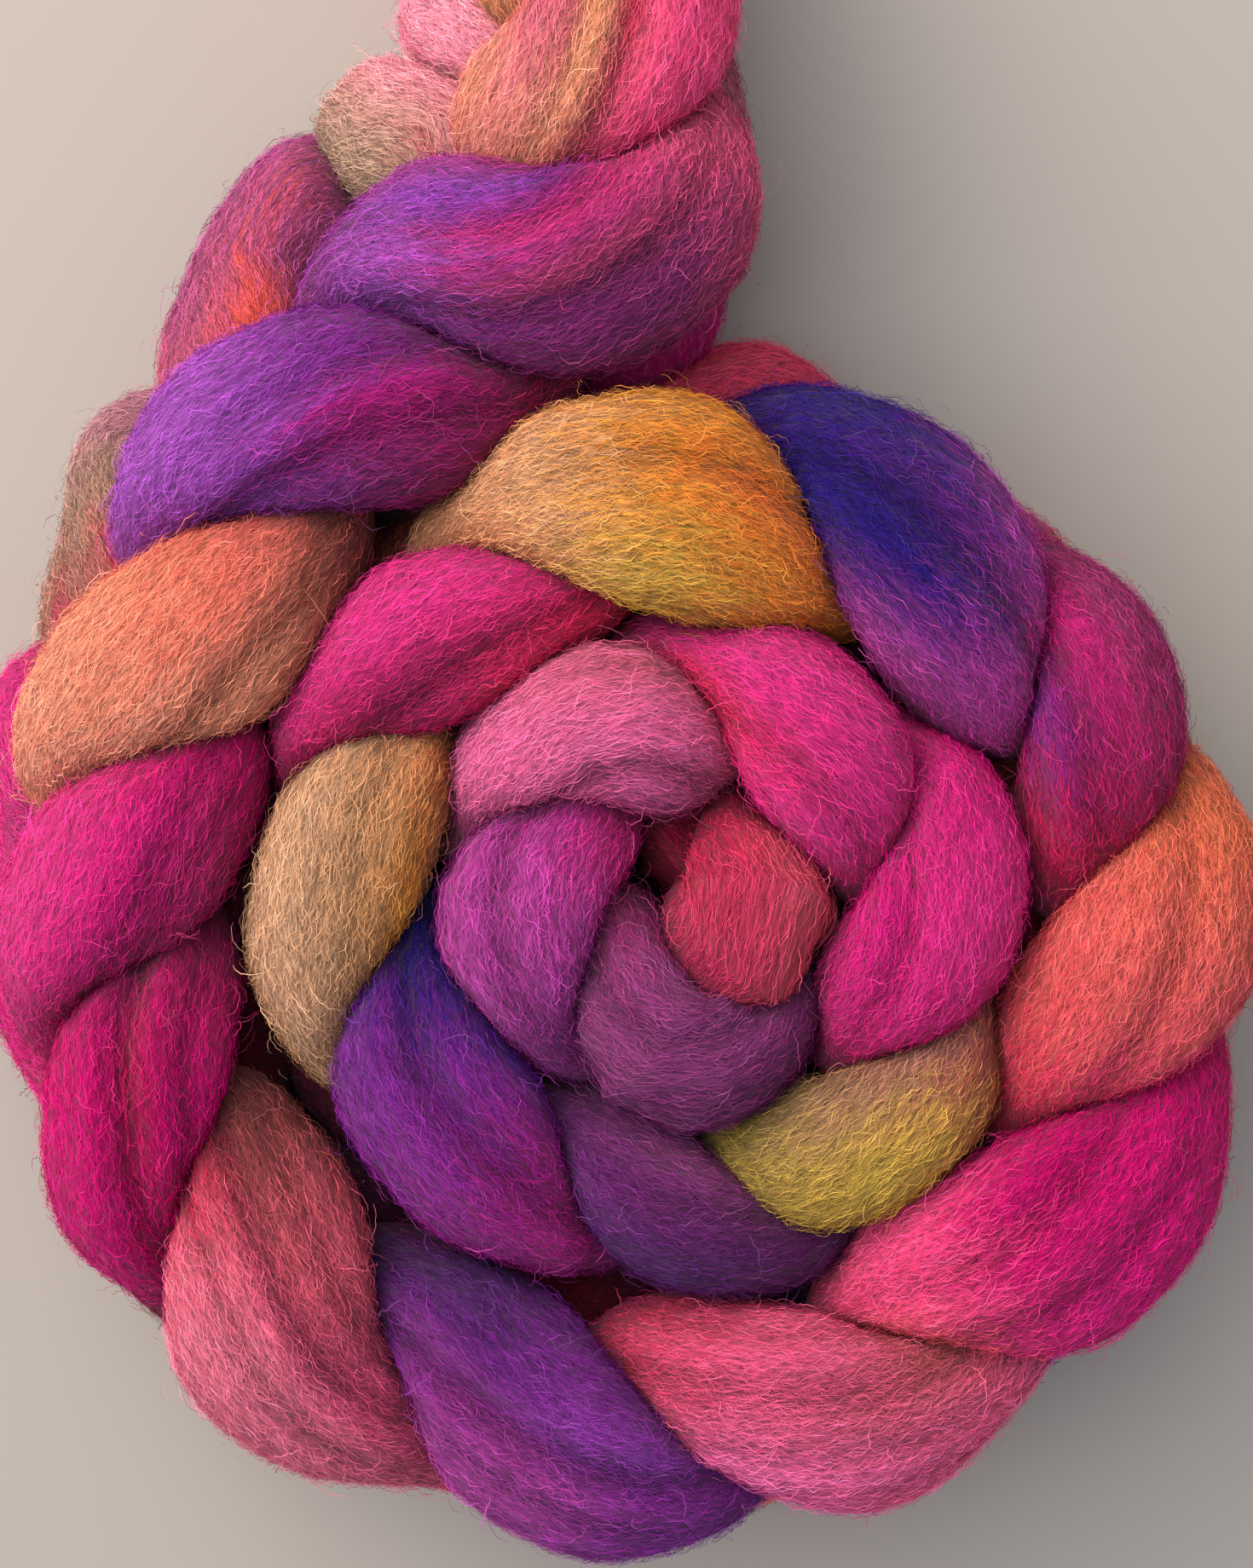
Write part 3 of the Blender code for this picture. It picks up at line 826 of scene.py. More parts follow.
print("A tenth of the way is eased to", round(float(eased(0.1)), 3))

# %% Pouring
SIDE_BLUR = 0.55         # how gradually one side's dye goes over into the other's
STREAK_ENDS = 2.5        # the higher, the shorter a streak fades at its two ends
DYE_SEED = 47


def streaked(s, place, colours):
    """The dyes of a strand with its streaks laid over them."""
    for lobe, start, end, angle, veer, width, dose, dye in STREAKS:
        if lobe % STRANDS != s["strand"]:
            continue
        part = (place - lobe - start) / (end - start)
        faded = eased(STREAK_ENDS * np.minimum(part, 1 - part))
        cover = dose * faded * band(np.radians(angle + veer * (part - 0.5)), width)
        colours = colours + cover[..., None] * (SHELF[dye] - colours)
    return colours


def dyed(s, shift=0.0):
    """The dye at each point of a strand, as amounts of light, a shift in lobes further on."""
    rng = np.random.default_rng(DYE_SEED + s["strand"])
    shape = s["radius"].shape
    place = s["place"][:, None] + shift
    place = place + wandering(shape, rng, *RUN_JITTER)
    place = place + wandering(shape, rng, *STREAK_JITTER)
    at, tailward, heartward = stations(s["strand"])
    base = np.clip(np.searchsorted(at, place) - 1, 0, len(at) - 2)
    part = eased((place - at[base]) / (at[base + 1] - at[base]))[..., None]
    side = np.cos(SIDE_ANGLES)[None] + wandering(shape, rng, *SIDE_JITTER)
    share = eased(0.5 + side / 2 / SIDE_BLUR)[..., None]
    tail_dye = tailward[base] * (1 - part) + tailward[base + 1] * part
    heart_dye = heartward[base] * (1 - part) + heartward[base + 1] * part
    return streaked(s, place, tail_dye * share + heart_dye * (1 - share))


for s in strands:
    s["poured"] = dyed(s)
    print("Strand", s["strand"] + 1, "is dyed, on average", np.round(s["poured"].mean(axis=(0, 1)), 2))

# %% Painted shade in creases and folds
NEXT_DYE = 0.12          # how far on the shader's streaks fetch their second dye, in lobes
CREASE_PAINTED_SHADE = 0.62        # painted shade: how much of a dye's lightness is left deep in a crease
CREASE_OPEN = 0.24       # a part that sees this share of the sky is out of the crease
FOLD_PAINTED_SHADE = 0.45        # painted shade: how much lightness a dye loses at the bottom of a fold
FOLD_DEEP = 2.5 * MM     # how deep such a fold is
FIBRE_PAINTED_SHADE = 0.5        # how much of that painted shade the loose fibres take on
for s in strands:
    # Painted shade: dyes are darkened where little sky shows and at the bottoms of folds.
    painted_shade_factor = CREASE_PAINTED_SHADE + (1 - CREASE_PAINTED_SHADE) * eased(s["open"] / CREASE_OPEN)
    painted_shade_factor = (painted_shade_factor * (1 - FOLD_PAINTED_SHADE * eased(s["folds"] / FOLD_DEEP)))[..., None]
    s["dye"] = s["poured"] * painted_shade_factor
    s["dye_hair"] = s["poured"] * (1 - FIBRE_PAINTED_SHADE + FIBRE_PAINTED_SHADE * painted_shade_factor)
    s["dye_next"] = dyed(s, NEXT_DYE) * painted_shade_factor
print("Mean dye", np.round(np.mean([s["dye"].mean(axis=(0, 1)) for s in strands], axis=0), 3))

# %% [markdown]
# ## The strands as meshes
#
# The rings become three closed tubes. Each point also carries what the wool's material needs:
# its dye with the painted shade of creases and folds, the same a little further on, and its
# place on the strand as if that lay straight, so that the fibres in the material run along the
# strand through every bend. A plain map of the strand, cut into sixteen squares, lets the
# colours be stored in a picture. Blender's curves with a bevel would give tubes too, but round
# ones, with nothing stored on them.

# %% A map of a strand
REST_RADIUS = 15.0               # of the strand as if it lay straight, in millimetres
MAP_NAME = "OFBake"
MAP_SIDE = 4                     # the map is this many squares wide and high
MAP_MARGIN = 0.03                # bare rim of each square, beside its side


def map_place(rings, sides, square, count):
    """Where points of a strand lie on its map, on the square with this number."""
    squares = MAP_SIDE ** 2
    across = np.clip(rings / count * squares - square, 0.0, 1.0)
    inner = 1.0 - 2 * MAP_MARGIN
    u = (square % MAP_SIDE + MAP_MARGIN + inner * across) / MAP_SIDE
    v = (square // MAP_SIDE + MAP_MARGIN + inner * np.clip(sides / SIDES, 0.0, 1.0)) / MAP_SIDE
    return np.stack([u, v], axis=-1)


print("The map has", MAP_SIDE ** 2, "squares. A strand starts at", map_place(0, 0, 0, 1))

# %% What a piece of wool carries
def give_colour(mesh, name, colours):
    """Store a colour for each point of a mesh."""
    layer = mesh.color_attributes.new(name, "FLOAT_COLOR", "POINT")
    opaque = np.concatenate([colours, np.ones((len(colours), 1))], axis=1)
    layer.data.foreach_set("color", opaque.astype(np.float32).ravel())


def give_vector(mesh, name, vectors):
    """Store a vector for each point of a mesh."""
    layer = mesh.attributes.new(name, "FLOAT_VECTOR", "POINT")
    layer.data.foreach_set("vector", np.asarray(vectors, np.float32).ravel())


def add_piece(name, mesh, material):
    """Put a mesh into the scene as a piece of the braid, in place of the plain solid."""
    mesh.materials.append(material)
    mesh.shade_smooth()
    obj = bpy.data.objects.new(name, mesh)
    bpy.context.scene.collection.objects.link(obj)
    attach(obj, "root")
    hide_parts("roving_braid")
    return obj


# %% Tubes from rings
def rest_places(s):
    """Each point's place on its strand as if that lay straight, in millimetres."""
    reach = np.linspace(0.0, s["length"] / MM, len(s["place"]))[:, None]
    return np.stack([
        reach + 0 * SIDE_ANGLES[None],
        REST_RADIUS * np.cos(SIDE_ANGLES)[None] + 0 * reach,
        REST_RADIUS * np.sin(SIDE_ANGLES)[None] + 0 * reach,
    ], axis=-1)


def strand_mesh(s):
    """One strand as a closed tube."""
    rings = len(s["place"])
    ring = np.repeat(np.arange(rings - 1), SIDES)
    side = np.tile(np.arange(SIDES), rings - 1)
    beside = (side + 1) % SIDES
    quads = np.stack([ring * SIDES + side, (ring + 1) * SIDES + side,
                      (ring + 1) * SIDES + beside, ring * SIDES + beside], axis=1)
    first_cap = list(range(SIDES))
    last_cap = list(range((rings - 1) * SIDES, rings * SIDES))[::-1]
    mesh = bpy.data.meshes.new("strand_%d" % (s["strand"] + 1))
    mesh.from_pydata(s["points"].reshape(-1, 3).tolist(), [], quads.tolist() + [first_cap, last_cap])
    square = np.minimum(ring * MAP_SIDE ** 2 // (rings - 1), MAP_SIDE ** 2 - 1)
    corners = [map_place(ring + on, side + over, square, rings - 1)
               for on, over in ((0, 0), (1, 0), (1, 1), (0, 1))]
    quad_map = np.stack(corners, axis=1).reshape(-1, 2)
    cap_map = [map_place(np.full(SIDES, 0.0), np.arange(SIDES), 0, rings - 1)] * 2
    layer = mesh.uv_layers.new(name=MAP_NAME)
    layer.uv.foreach_set("vector", np.concatenate([quad_map, *cap_map]).astype(np.float32).ravel())
    # The stored dyes carry the painted shade of creases and folds.
    give_colour(mesh, "dye", s["dye"].reshape(-1, 3))
    give_colour(mesh, "dye_next", s["dye_next"].reshape(-1, 3))
    give_vector(mesh, "rest_place", rest_places(s).reshape(-1, 3))
    return mesh


strand_meshes = [strand_mesh(s) for s in strands]
print("Strand faces:", [len(mesh.polygons) for mesh in strand_meshes])

# %% [markdown]
# ## Shader maths, written as plain sums
#
# A material is a web of small nodes. Wired by hand it is slow to read, so one small class
# stands for a wire between nodes. Adding or multiplying two wires adds the node for it, and
# any other node comes from one method.

# %% Wires
class Wire:
    """A socket of a material's node tree that can stand in a sum."""

    def __init__(self, tree, socket=None):
        self.tree = tree
        self.socket = socket

    def node(self, kind, settings=(), sockets=(), out=0):
        """A new node: its settings are set first, then its sockets' values or links."""
        made = self.tree.nodes.new(kind)
        for name, setting in dict(settings).items():
            setattr(made, name, setting)
        for key, given in dict(sockets).items():
            if isinstance(given, Wire):
                self.tree.links.new(given.socket, made.inputs[key])
            else:
                made.inputs[key].default_value = given
        return Wire(self.tree, made.outputs[out])

    def maths(self, operation, *values):
        """A Math node that works on these values or wires."""
        return self.node("ShaderNodeMath", {"operation": operation}, enumerate(values))

    def __add__(self, other):
        return self.maths("ADD", self, other)

    def __radd__(self, other):
        return self.maths("ADD", other, self)

    def __sub__(self, other):
        return self.maths("SUBTRACT", self, other)

    def __rsub__(self, other):
        return self.maths("SUBTRACT", other, self)

    def __mul__(self, other):
        return self.maths("MULTIPLY", self, other)

    def __rmul__(self, other):
        return self.maths("MULTIPLY", other, self)

    def __abs__(self):
        return self.maths("ABSOLUTE", self)

    def clamped(self):
        """The same, but never under 0 or over 1."""
        return self.node("ShaderNodeClamp", (), {0: self})

    def mixed(self, start, end):
        """The colour between two colours that this wire's share picks."""
        settings = {"data_type": "RGBA", "blend_type": "MIX", "clamp_factor": True}
        return self.node("ShaderNodeMix", settings, {0: self, 6: start, 7: end}, out=2)

    def scaled(self, factor):
        """A colour or a vector, made larger or smaller by a number."""
        return self.node("ShaderNodeVectorMath", {"operation": "SCALE"}, {0: self, "Scale": factor})

    def feeds(self, shader, name):
        """Plug this wire into a socket of the shader."""
        self.tree.links.new(self.socket, shader.inputs[name])


def new_material(name, finish):
    """A material with plain values on its shader, that shader, and a wire to begin with."""
    material = bpy.data.materials.new(name)
    material.use_nodes = True
    shader = material.node_tree.nodes["Principled BSDF"]
    for socket, amount in finish.items():
        shader.inputs[socket].default_value = amount
    return material, shader, Wire(material.node_tree)


print("A wire is:", Wire.__doc__)

# %% [markdown]
# ## The fibres in the strands' own finish
#
# Seen close, roving is a mass of fine fibres that all run the same way, each with a small
# even wave, the crimp. Light catches single fibres and sinks between them. A picture of wool
# wrapped round the strand would show its seams, so the material draws the fibres itself. It
# counts fibres round the strand, as spokes of a wheel, and bends them by a wave of the
# crimp's own length. The number of a fibre gives it its own brightness, and its own places
# where it dips out of sight. Each is highest, and painted lightest, along its middle. There
# are four such layers, each at its own slant, and the highest one wins.

# %% One layer of fibres
CRIMP_LENGTH = 1.7               # in millimetres
CRIMP_THROW = 0.26               # how far a fibre swings to either side, in millimetres
CRIMP_DRIFT = 30.0               # how unevenly the crimps of neighbours fall in step
CRIMP_START = 1.7                # where a layer's crimps start beside the last one's, in radians
WANDER = 3.0                     # how far a whole lock of fibres sways, in millimetres
FIBRE_LAYERS = (
    # slant in degrees, millimetres between two fibres, height beside the highest layer
    (4.0, 0.46, 1.00),
    (-19.0, 0.52, 0.90),
    (27.0, 0.56, 0.80),
    (-6.0, 0.38, 0.62),
)
FIBRE_BREADTH = 0.42             # of the room between two fibres
DIP_TURNS = 0.30                 # how often a fibre dips and comes back, in a millimetre
DIP_APART = 700.0                # how far apart two fibres read their dips, in turns, at most
DIP_LEVEL = 0.36                 # a fibre is out of sight below this
DIP_SHARPNESS = 6.0              # the higher, the more suddenly it dips
DULLEST = 0.55                   # of the brightest fibre
LAYERS_APART = 1000              # so that no two layers share a fibre's number


def fibre_layer(along, turn, wander, slant, spacing, seed):
    """One layer of crimped fibres: 1 on the middle of a fibre, 0 between two."""
    around = round(2 * math.pi * REST_RADIUS / spacing)
    wave = along * (2 * math.pi / CRIMP_LENGTH) + wander * CRIMP_DRIFT + seed * CRIMP_START
    sway = along.maths("SINE", wave) * CRIMP_THROW + wander * WANDER
    shift = along * math.tan(math.radians(slant)) + sway
    across = turn * (around / 2 / math.pi) + shift * (1 / spacing)
    number = along.maths("FLOORED_MODULO", along.maths("FLOOR", across), around)
    chance = along.node("ShaderNodeTexWhiteNoise", {"noise_dimensions": "1D"},
                        {"W": number + seed * LAYERS_APART})
    dips = along.node("ShaderNodeTexNoise", {"noise_dimensions": "1D"},
                      {"W": along * DIP_TURNS + chance * DIP_APART, "Scale": 1.0, "Detail": 0.0})
    shown = ((dips - DIP_LEVEL) * DIP_SHARPNESS).clamped() * (DULLEST + chance * (1 - DULLEST))
    from_middle = abs(along.maths("FRACT", across) - 0.5)
    return (1.0 - from_middle * (2 / FIBRE_BREADTH)).clamped() * shown


print("Fibres round a strand, layer by layer:",
      [round(2 * math.pi * REST_RADIUS / spacing) for _, spacing, _ in FIBRE_LAYERS])

# %% [markdown]
# ## Dyed wool
#
# Between the fibres lies a soft ground of more wool. Fibres and ground together make one
# height, which drives both the bump and a painted shade in the pits, with the fibres' tops painted lighter,
# so that light and colour agree.
# Long thin streaks carry the dye from a little further along: the fibres of combed wool lie
# unevenly, and so do their dyes. A little sheen stands for the fuzz that is too fine to draw.

# %% The strands' wool
# Soft random fields. Their grain is given along the strand and twice across it: the higher,
# the finer. Then come their detail and how rough that detail is.
LOCK_SWAY = ((0.10, 0.30, 0.30), 1.0, 0.5)
GROUND_WOOL = ((0.7, 2.6, 2.6), 2.0, 0.6)
DYE_STREAKS = ((0.02, 0.9, 0.9), 3.0, 0.65)
GROUND_CONTRAST = 2.2
GROUND_LEVEL = 0.30              # the ground's mean height beside the highest fibre
STREAK_CONTRAST = 5.0            # how sharp the edges of a streak of dye are
PIT_PAINTED_SHADE = 0.75                 # painted shade: how dark the pits are: 0 not at all, 1 black
RELIEF = 0.0004                  # height of the fibres' relief, in metres
RELIEF_STRENGTH = 0.8
WOOL_FINISH = {
    "Roughness": 0.88, "Specular IOR Level": 0.1, "Sheen Weight": 0.12, "Sheen Roughness": 0.45,
}


def grainy(rest, grain, detail, roughness):
    """A soft random field over a strand, as if that lay straight."""
    place = rest.node("ShaderNodeVectorMath", {"operation": "MULTIPLY"}, {0: rest, 1: grain})
    sockets = {"Vector": place, "Scale": 1.0, "Detail": detail, "Roughness": roughness}
    return rest.node("ShaderNodeTexNoise", {"noise_dimensions": "3D"}, sockets)


def wool_relief(rest):
    """The height of the wool at a place on the strand: fibres over a softer ground."""
    along, fore, top = (rest.node("ShaderNodeSeparateXYZ", (), {0: rest}, out=way) for way in "XYZ")
    turn = rest.maths("ARCTAN2", top, fore)
    sway = grainy(rest, *LOCK_SWAY)
    relief = ((grainy(rest, *GROUND_WOOL) - 0.5) * GROUND_CONTRAST + GROUND_LEVEL).clamped()
    for seed, (slant, spacing, height) in enumerate(FIBRE_LAYERS, start=1):
        layer = fibre_layer(along, turn, sway, slant, spacing, seed) * height
        relief = rest.maths("MAXIMUM", layer, relief)
    return relief


def wool_material():
    """Dyed wool, as the strands' own surface shows it."""
    material, shader, start = new_material("dyed_wool", WOOL_FINISH)
    # The dye attributes carry the painted shade of creases and folds.
    dye = start.node("ShaderNodeAttribute", {"attribute_name": "dye"})
    dye_next = start.node("ShaderNodeAttribute", {"attribute_name": "dye_next"})
    rest = start.node("ShaderNodeAttribute", {"attribute_name": "rest_place"}, out="Vector")
    relief = wool_relief(rest)
    streaks = ((grainy(rest, *DYE_STREAKS) - 0.5) * STREAK_CONTRAST + 0.5).clamped()
    # painted shade in the pits and painted light on the fibres' tops
    light = (1.0 - PIT_PAINTED_SHADE) + relief * (2.0 * PIT_PAINTED_SHADE)
    streaks.mixed(dye, dye_next).scaled(light).feeds(shader, "Base Color")
    bump = {"Height": relief, "Distance": RELIEF, "Strength": RELIEF_STRENGTH}
    start.node("ShaderNodeBump", (), bump).feeds(shader, "Normal")
    return material


strand_wool = wool_material()
strand_pieces = [add_piece(mesh.name, mesh, strand_wool) for mesh in strand_meshes]
print([piece.name for piece in strand_pieces], "use", len(strand_wool.node_tree.nodes), "nodes.")

# %% [markdown]
# ## Combing loose fibres over the strands
#
# The strands' own surface is still too smooth: real roving is nothing but fibres. Blender's
# hair would draw them, but hair is not a mesh, and a part has to be one. So the fibres are
# made from arrays, thousands at once. A long one is a narrow strip, ten points long, laid
# along the surface of its strand with the crimp of the wool. Most lie close. Some rise a
# little, and a few stray ones stand off and make the soft edge that wool shows against the
# light. The habits are a table, with a row for each kind.

# %% The fibres' habits
FIBRES_A_STRAND = 4400
FIBRE_POINTS = 10
# share of all fibres, gap between points, lift at the roots, rise in the middle, rise at the
# free end, spread of the slant, sharpest curl. In millimetres, degrees and radians a metre.
HABIT_COLUMNS = ("share", "gap", "lift", "hump", "free", "slant", "curl")
HABITS = (
    (0.12, 0.66, 0.16, 0.12, 0.00, 18, 60),
    (0.22, 0.66, 0.24, 0.50, 0.00, 28, 130),
    (0.26, 0.60, 0.20, 1.20, 0.30, 40, 280),
    (0.25, 0.52, 0.10, 1.40, 1.60, 60, 450),
    (0.15, 0.62, 0.10, 2.20, 3.60, 80, 480),
)
print(len(HABITS), "kinds of long fibres, each a row of", ", ".join(HABIT_COLUMNS))

# %% Places between a strand's points
LEAST_RING_STEP = 0.5 * MM       # where a strand bends sharply, its steps count as this long
LEAST_SIDE_STEP = 0.4 * MM
TABLE_GAP = 0.05 * MM            # fibres stay this far over the table
LAST_PLACE = 1.001               # no place is read nearer to the end of a count of rings


def sampled(grid, ring, side):
    """A field's values between the points of a strand."""
    ring = np.clip(ring, 0.0, grid.shape[0] - LAST_PLACE)
    first = ring.astype(int)
    part = ring - first
    left = np.floor(side).astype(int)
    share = side - left
    left = left % SIDES
    beside = (left + 1) % SIDES
    if grid.ndim == 3:
        part = part[..., None]
        share = share[..., None]
    near = grid[first, left] * (1 - share) + grid[first, beside] * share
    far = grid[first + 1, left] * (1 - share) + grid[first + 1, beside] * share
    return near * (1 - part) + far * part


def strides(s, ring, side):
    """How long a step from ring to ring is at some roots, and one from side to side."""
    ring_step = np.maximum(sampled(s["ring_step"], ring, side), LEAST_RING_STEP)
    side_step = np.maximum(sampled(s["side_step"], ring, side), LEAST_SIDE_STEP)
    return ring_step[:, None], side_step[:, None]


def raised(s, rings, sides, height):
    """Points at these heights over a strand, and the way out of the wool at each."""
    normal = unit(sampled(s["normals"], rings, sides))
    return sampled(s["points"], rings, sides) + normal * height[..., None], normal


def off_table(points):
    """The same points, with those that would lie in the table lifted out of it."""
    points[..., 2] = np.maximum(points[..., 2], TABLE_GAP)
    return points


ring_steps = strands[0]["ring_step"] / MM
print("Rings lie", round(ring_steps.min(), 1), "to", round(ring_steps.max(), 1), "mm apart.")

# %% [markdown]
# ## Where the fibres take root
#
# Roots are drawn at random, like darts that fall on the open wool alone. Each place gets as
# many as its area and its share of the sky allow, so none are wasted deep in the creases. A
# fibre takes its dye from close by and not from right under it, since combed fibres of
# different dyes mingle.

# %% Roots and dyes
ROOTS_SKY = 1.3                  # how fast the roots grow thicker as more sky shows
ROOTS_MOST = 0.30                # where they are as thick as they get


def rooted(s, count, rng):
    """Random roots on the open part of a strand, thickest where it is most open."""
    weight = s["ring_step"] * s["side_step"] * np.clip(ROOTS_SKY * s["open"], 0.0, ROOTS_MOST)
    chance = np.cumsum(weight.ravel())
    cell = np.searchsorted(chance, rng.uniform(0, chance[-1], count))
    ring = cell // SIDES + rng.uniform(-0.5, 0.5, count)
    side = cell % SIDES + rng.uniform(-0.5, 0.5, count)
    return np.clip(ring, 1.0, len(s["place"]) - 2.0), side


def dye_near(s, rng, ring, side, rings_off, sides_off):
    """The dye, with its painted shade, a little beside each root, at most so many rings and sides off."""
    ring = ring + rng.uniform(-rings_off, rings_off, len(ring))
    side = side + rng.uniform(-sides_off, sides_off, len(side))
    return sampled(s["dye_hair"], ring, side)


trial_sides = rooted(strands[0], 1000, np.random.default_rng(0))[1]
print("Of 1000 trial roots,", int((np.sin(trial_sides * 2 * np.pi / SIDES) > 0).sum()), "are on top.")

# %% [markdown]
# ## Long crimped fibres
#
# A fibre's course is first drawn flat, as if the wool were a sheet: ahead along the strand
# and aside round it, with a curl and a crimp. It is then laid on the strand, lifted along the
# way out of the wool, and given a width that leans over a little. It thins at its two tips.

# %% The course of long fibres
FIBRE_THROW = 0.22 * MM          # how far its crimp swings a fibre to either side
SLANT_SHARE = 0.6                # two fibres in three keep to this share of their habit's slant
# How single fibres differ from their habit: a factor between two numbers.
VARIES = {
    "gap": (0.8, 1.15), "crimps": (0.8, 1.25), "throw": (0.4, 1.2), "rise": (0.3, 1.0),
    "lift": (0.2, 1.6), "width": (0.6, 1.25), "brightness": (0.55, 1.60),
}


def varied(name, rng, count):
    """A factor for each fibre, by which it differs from its habit."""
    return rng.uniform(*VARIES[name], (count, 1))


def run_up(steps):
    """The sum of all steps so far, counted from the middle point of each fibre."""
    total = np.concatenate([np.zeros((len(steps), 1)), np.cumsum(steps, 1)], 1)
    middle = FIBRE_POINTS // 2
    return total - total[:, middle:middle + 1]


def courses(gap, slant, curl, rng):
    """How far ahead and aside of its root each point of a fibre lies, and its crimp there."""
    count = len(gap)
    steps = np.arange(FIBRE_POINTS) - (FIBRE_POINTS - 1) / 2
    reach = steps[None] * gap * varied("gap", rng, count)
    turn = np.radians(slant) * rng.standard_normal(count) * SLANT_SHARE + np.pi * rng.integers(0, 2, count)
    heading = turn[:, None] + reach * (curl * rng.uniform(-1, 1, count))[:, None]
    stride = np.diff(reach, axis=1)
    wave = 2 * np.pi * reach / (CRIMP_LENGTH * MM) * varied("crimps", rng, count)
    wave += rng.uniform(0, 2 * np.pi, (count, 1))
    swing = FIBRE_THROW * np.sin(wave) * varied("throw", rng, count)
    ahead = run_up(np.cos(heading[:, 1:]) * stride) - np.sin(heading) * swing
    aside = run_up(np.sin(heading[:, 1:]) * stride) + np.cos(heading) * swing
    return ahead, aside, wave


print("A fibre of the first kind is", round(HABITS[0][1] * (FIBRE_POINTS - 1), 1), "mm long.")

# %% Long fibres on a strand
FIBRE_WIDTH = 0.10 * MM
CRIMP_RISE = 0.08 * MM           # how far its crimp lifts a fibre
HUMP_ROUNDNESS = 0.8             # the lower, the flatter the top of a hump
FREE_CURVE = 1.6                 # the higher, the later a free end rises
FIBRE_ROLL = 1.1                 # how far a strip leans over, in radians at most
TIP_THINNING = 0.7               # share of its width that a fibre loses at its tips
TIP_CURVE = 4                    # the higher, the nearer to the tips
FIBRE_MINGLING = (2.5, 0.7)      # rings and sides off that its dye may come from
STRAY_HEIGHT = 3.0 * MM          # a fibre that rises this far is a stray one
STRAY_PAINTED_LIGHT = 0.10                # painted light: how much brighter a stray fibre is
STRAY_PAINTED_PALENESS = 0.03            # and how much paler, also painted light


def fibres(s, rng, count):
    """Long fibres of one strand: their points, their dyes and their places on the strand."""
    ring, side = rooted(s, count, rng)
    habits = np.array(HABITS)
    habit = habits[rng.choice(len(habits), count, p=habits[:, 0])].T
    gap, lift, hump, free = (size[:, None] * MM for size in habit[1:5])
    ahead, aside, wave = courses(gap, habit[5], habit[6], rng)
    ring_step, side_step = strides(s, ring, side)
    rings = ring[:, None] + ahead / ring_step
    sides = side[:, None] + aside / side_step
    share = np.arange(FIBRE_POINTS)[None] / (FIBRE_POINTS - 1)
    rise = varied("rise", rng, count)
    height = lift * varied("lift", rng, count) + hump * rise * np.sin(np.pi * share) ** HUMP_ROUNDNESS
    height += free * rise * share ** FREE_CURVE + CRIMP_RISE * (1 + np.cos(wave))
    line, normal = raised(s, rings, sides, height)
    along = unit(np.gradient(line, axis=1))
    roll = rng.uniform(-FIBRE_ROLL, FIBRE_ROLL, (count, 1, 1))
    width = unit(np.cross(along, normal)) * np.cos(roll) + normal * np.sin(roll)
    taper = 1.0 - TIP_THINNING * np.abs(2 * share - 1) ** TIP_CURVE
    half = width * (FIBRE_WIDTH / 2 * taper * varied("width", rng, count))[..., None]
    dye = dye_near(s, rng, ring, side, *FIBRE_MINGLING)
    stray = np.clip((hump + free) / STRAY_HEIGHT, 0.0, 1.0)
    # stray fibres get a painted light on top of their random brightness
    bright = varied("brightness", rng, count) + STRAY_PAINTED_LIGHT * stray
    first = 2 * np.arange(FIBRE_POINTS - 1)
    return {
        "points": off_table(np.stack([line - half, line + half], axis=2).reshape(count, -1, 3)),
        "dye": np.clip(dye * bright + STRAY_PAINTED_PALENESS * stray, 0.0, 1.0), "ring": ring, "side": side,
        "faces": np.stack([first, first + 1, first + 3, first + 2], axis=-1),
        "rings": np.repeat(rings, 2, axis=1), "sides": np.repeat(sides, 2, axis=1),
        "edge": np.tile([-1.0, 1.0], FIBRE_POINTS),
    }


print("Long fibres are", FIBRE_WIDTH / MM, "mm wide.")

# %% [markdown]
# ## Short hairs
#
# Between the long fibres, wool is a dense fleece. What shows of it are short stretches where
# a crimped fibre comes up between two dips. Each needs no more than one bend, so two thin
# triangles are enough, and there can be nearly a hundred thousand on a strand. One in three
# stands up more than the rest. The deeper a hair lies, the darker it is painted on the whole:
# this painted shade gives the fleece its depth.

# %% Short hairs on a strand
HAIRS_A_STRAND = 98000
HAIR_LENGTH = (2.4 * MM, 6.0 * MM)
HAIR_WIDTH = (0.07 * MM, 0.13 * MM)
HAIR_SLANT = 20.0                # in degrees
HAIR_BEND = 0.24                 # how far its middle swings to a side, in lengths
HAIR_SINK = 0.05 * MM            # its two ends lie this deep in the wool
HAIR_RISE = (0.06 * MM, 0.46 * MM)
PROUD_SHARE = 0.33               # of the hairs that stand up more
PROUD_RISE = 0.90 * MM
PROUD_LEAST = 0.3                # of that rise
PROUD_END = 1.6                  # how high its free end may be, beside its middle
HAIR_ROLL = 0.9                  # how far a hair leans over, in radians at most
HAIR_MINGLING = (2.0, 0.6)       # rings and sides off that its dye may come from
HAIR_PAINTED_SHADE_AND_TONE = (0.34, 2.20)        # painted shade and random tone, from the deepest hair to the topmost, of the dye's own
DEPTH_TELLS = 0.4                # how much of that its height sets as painted shade, the rest is random tone
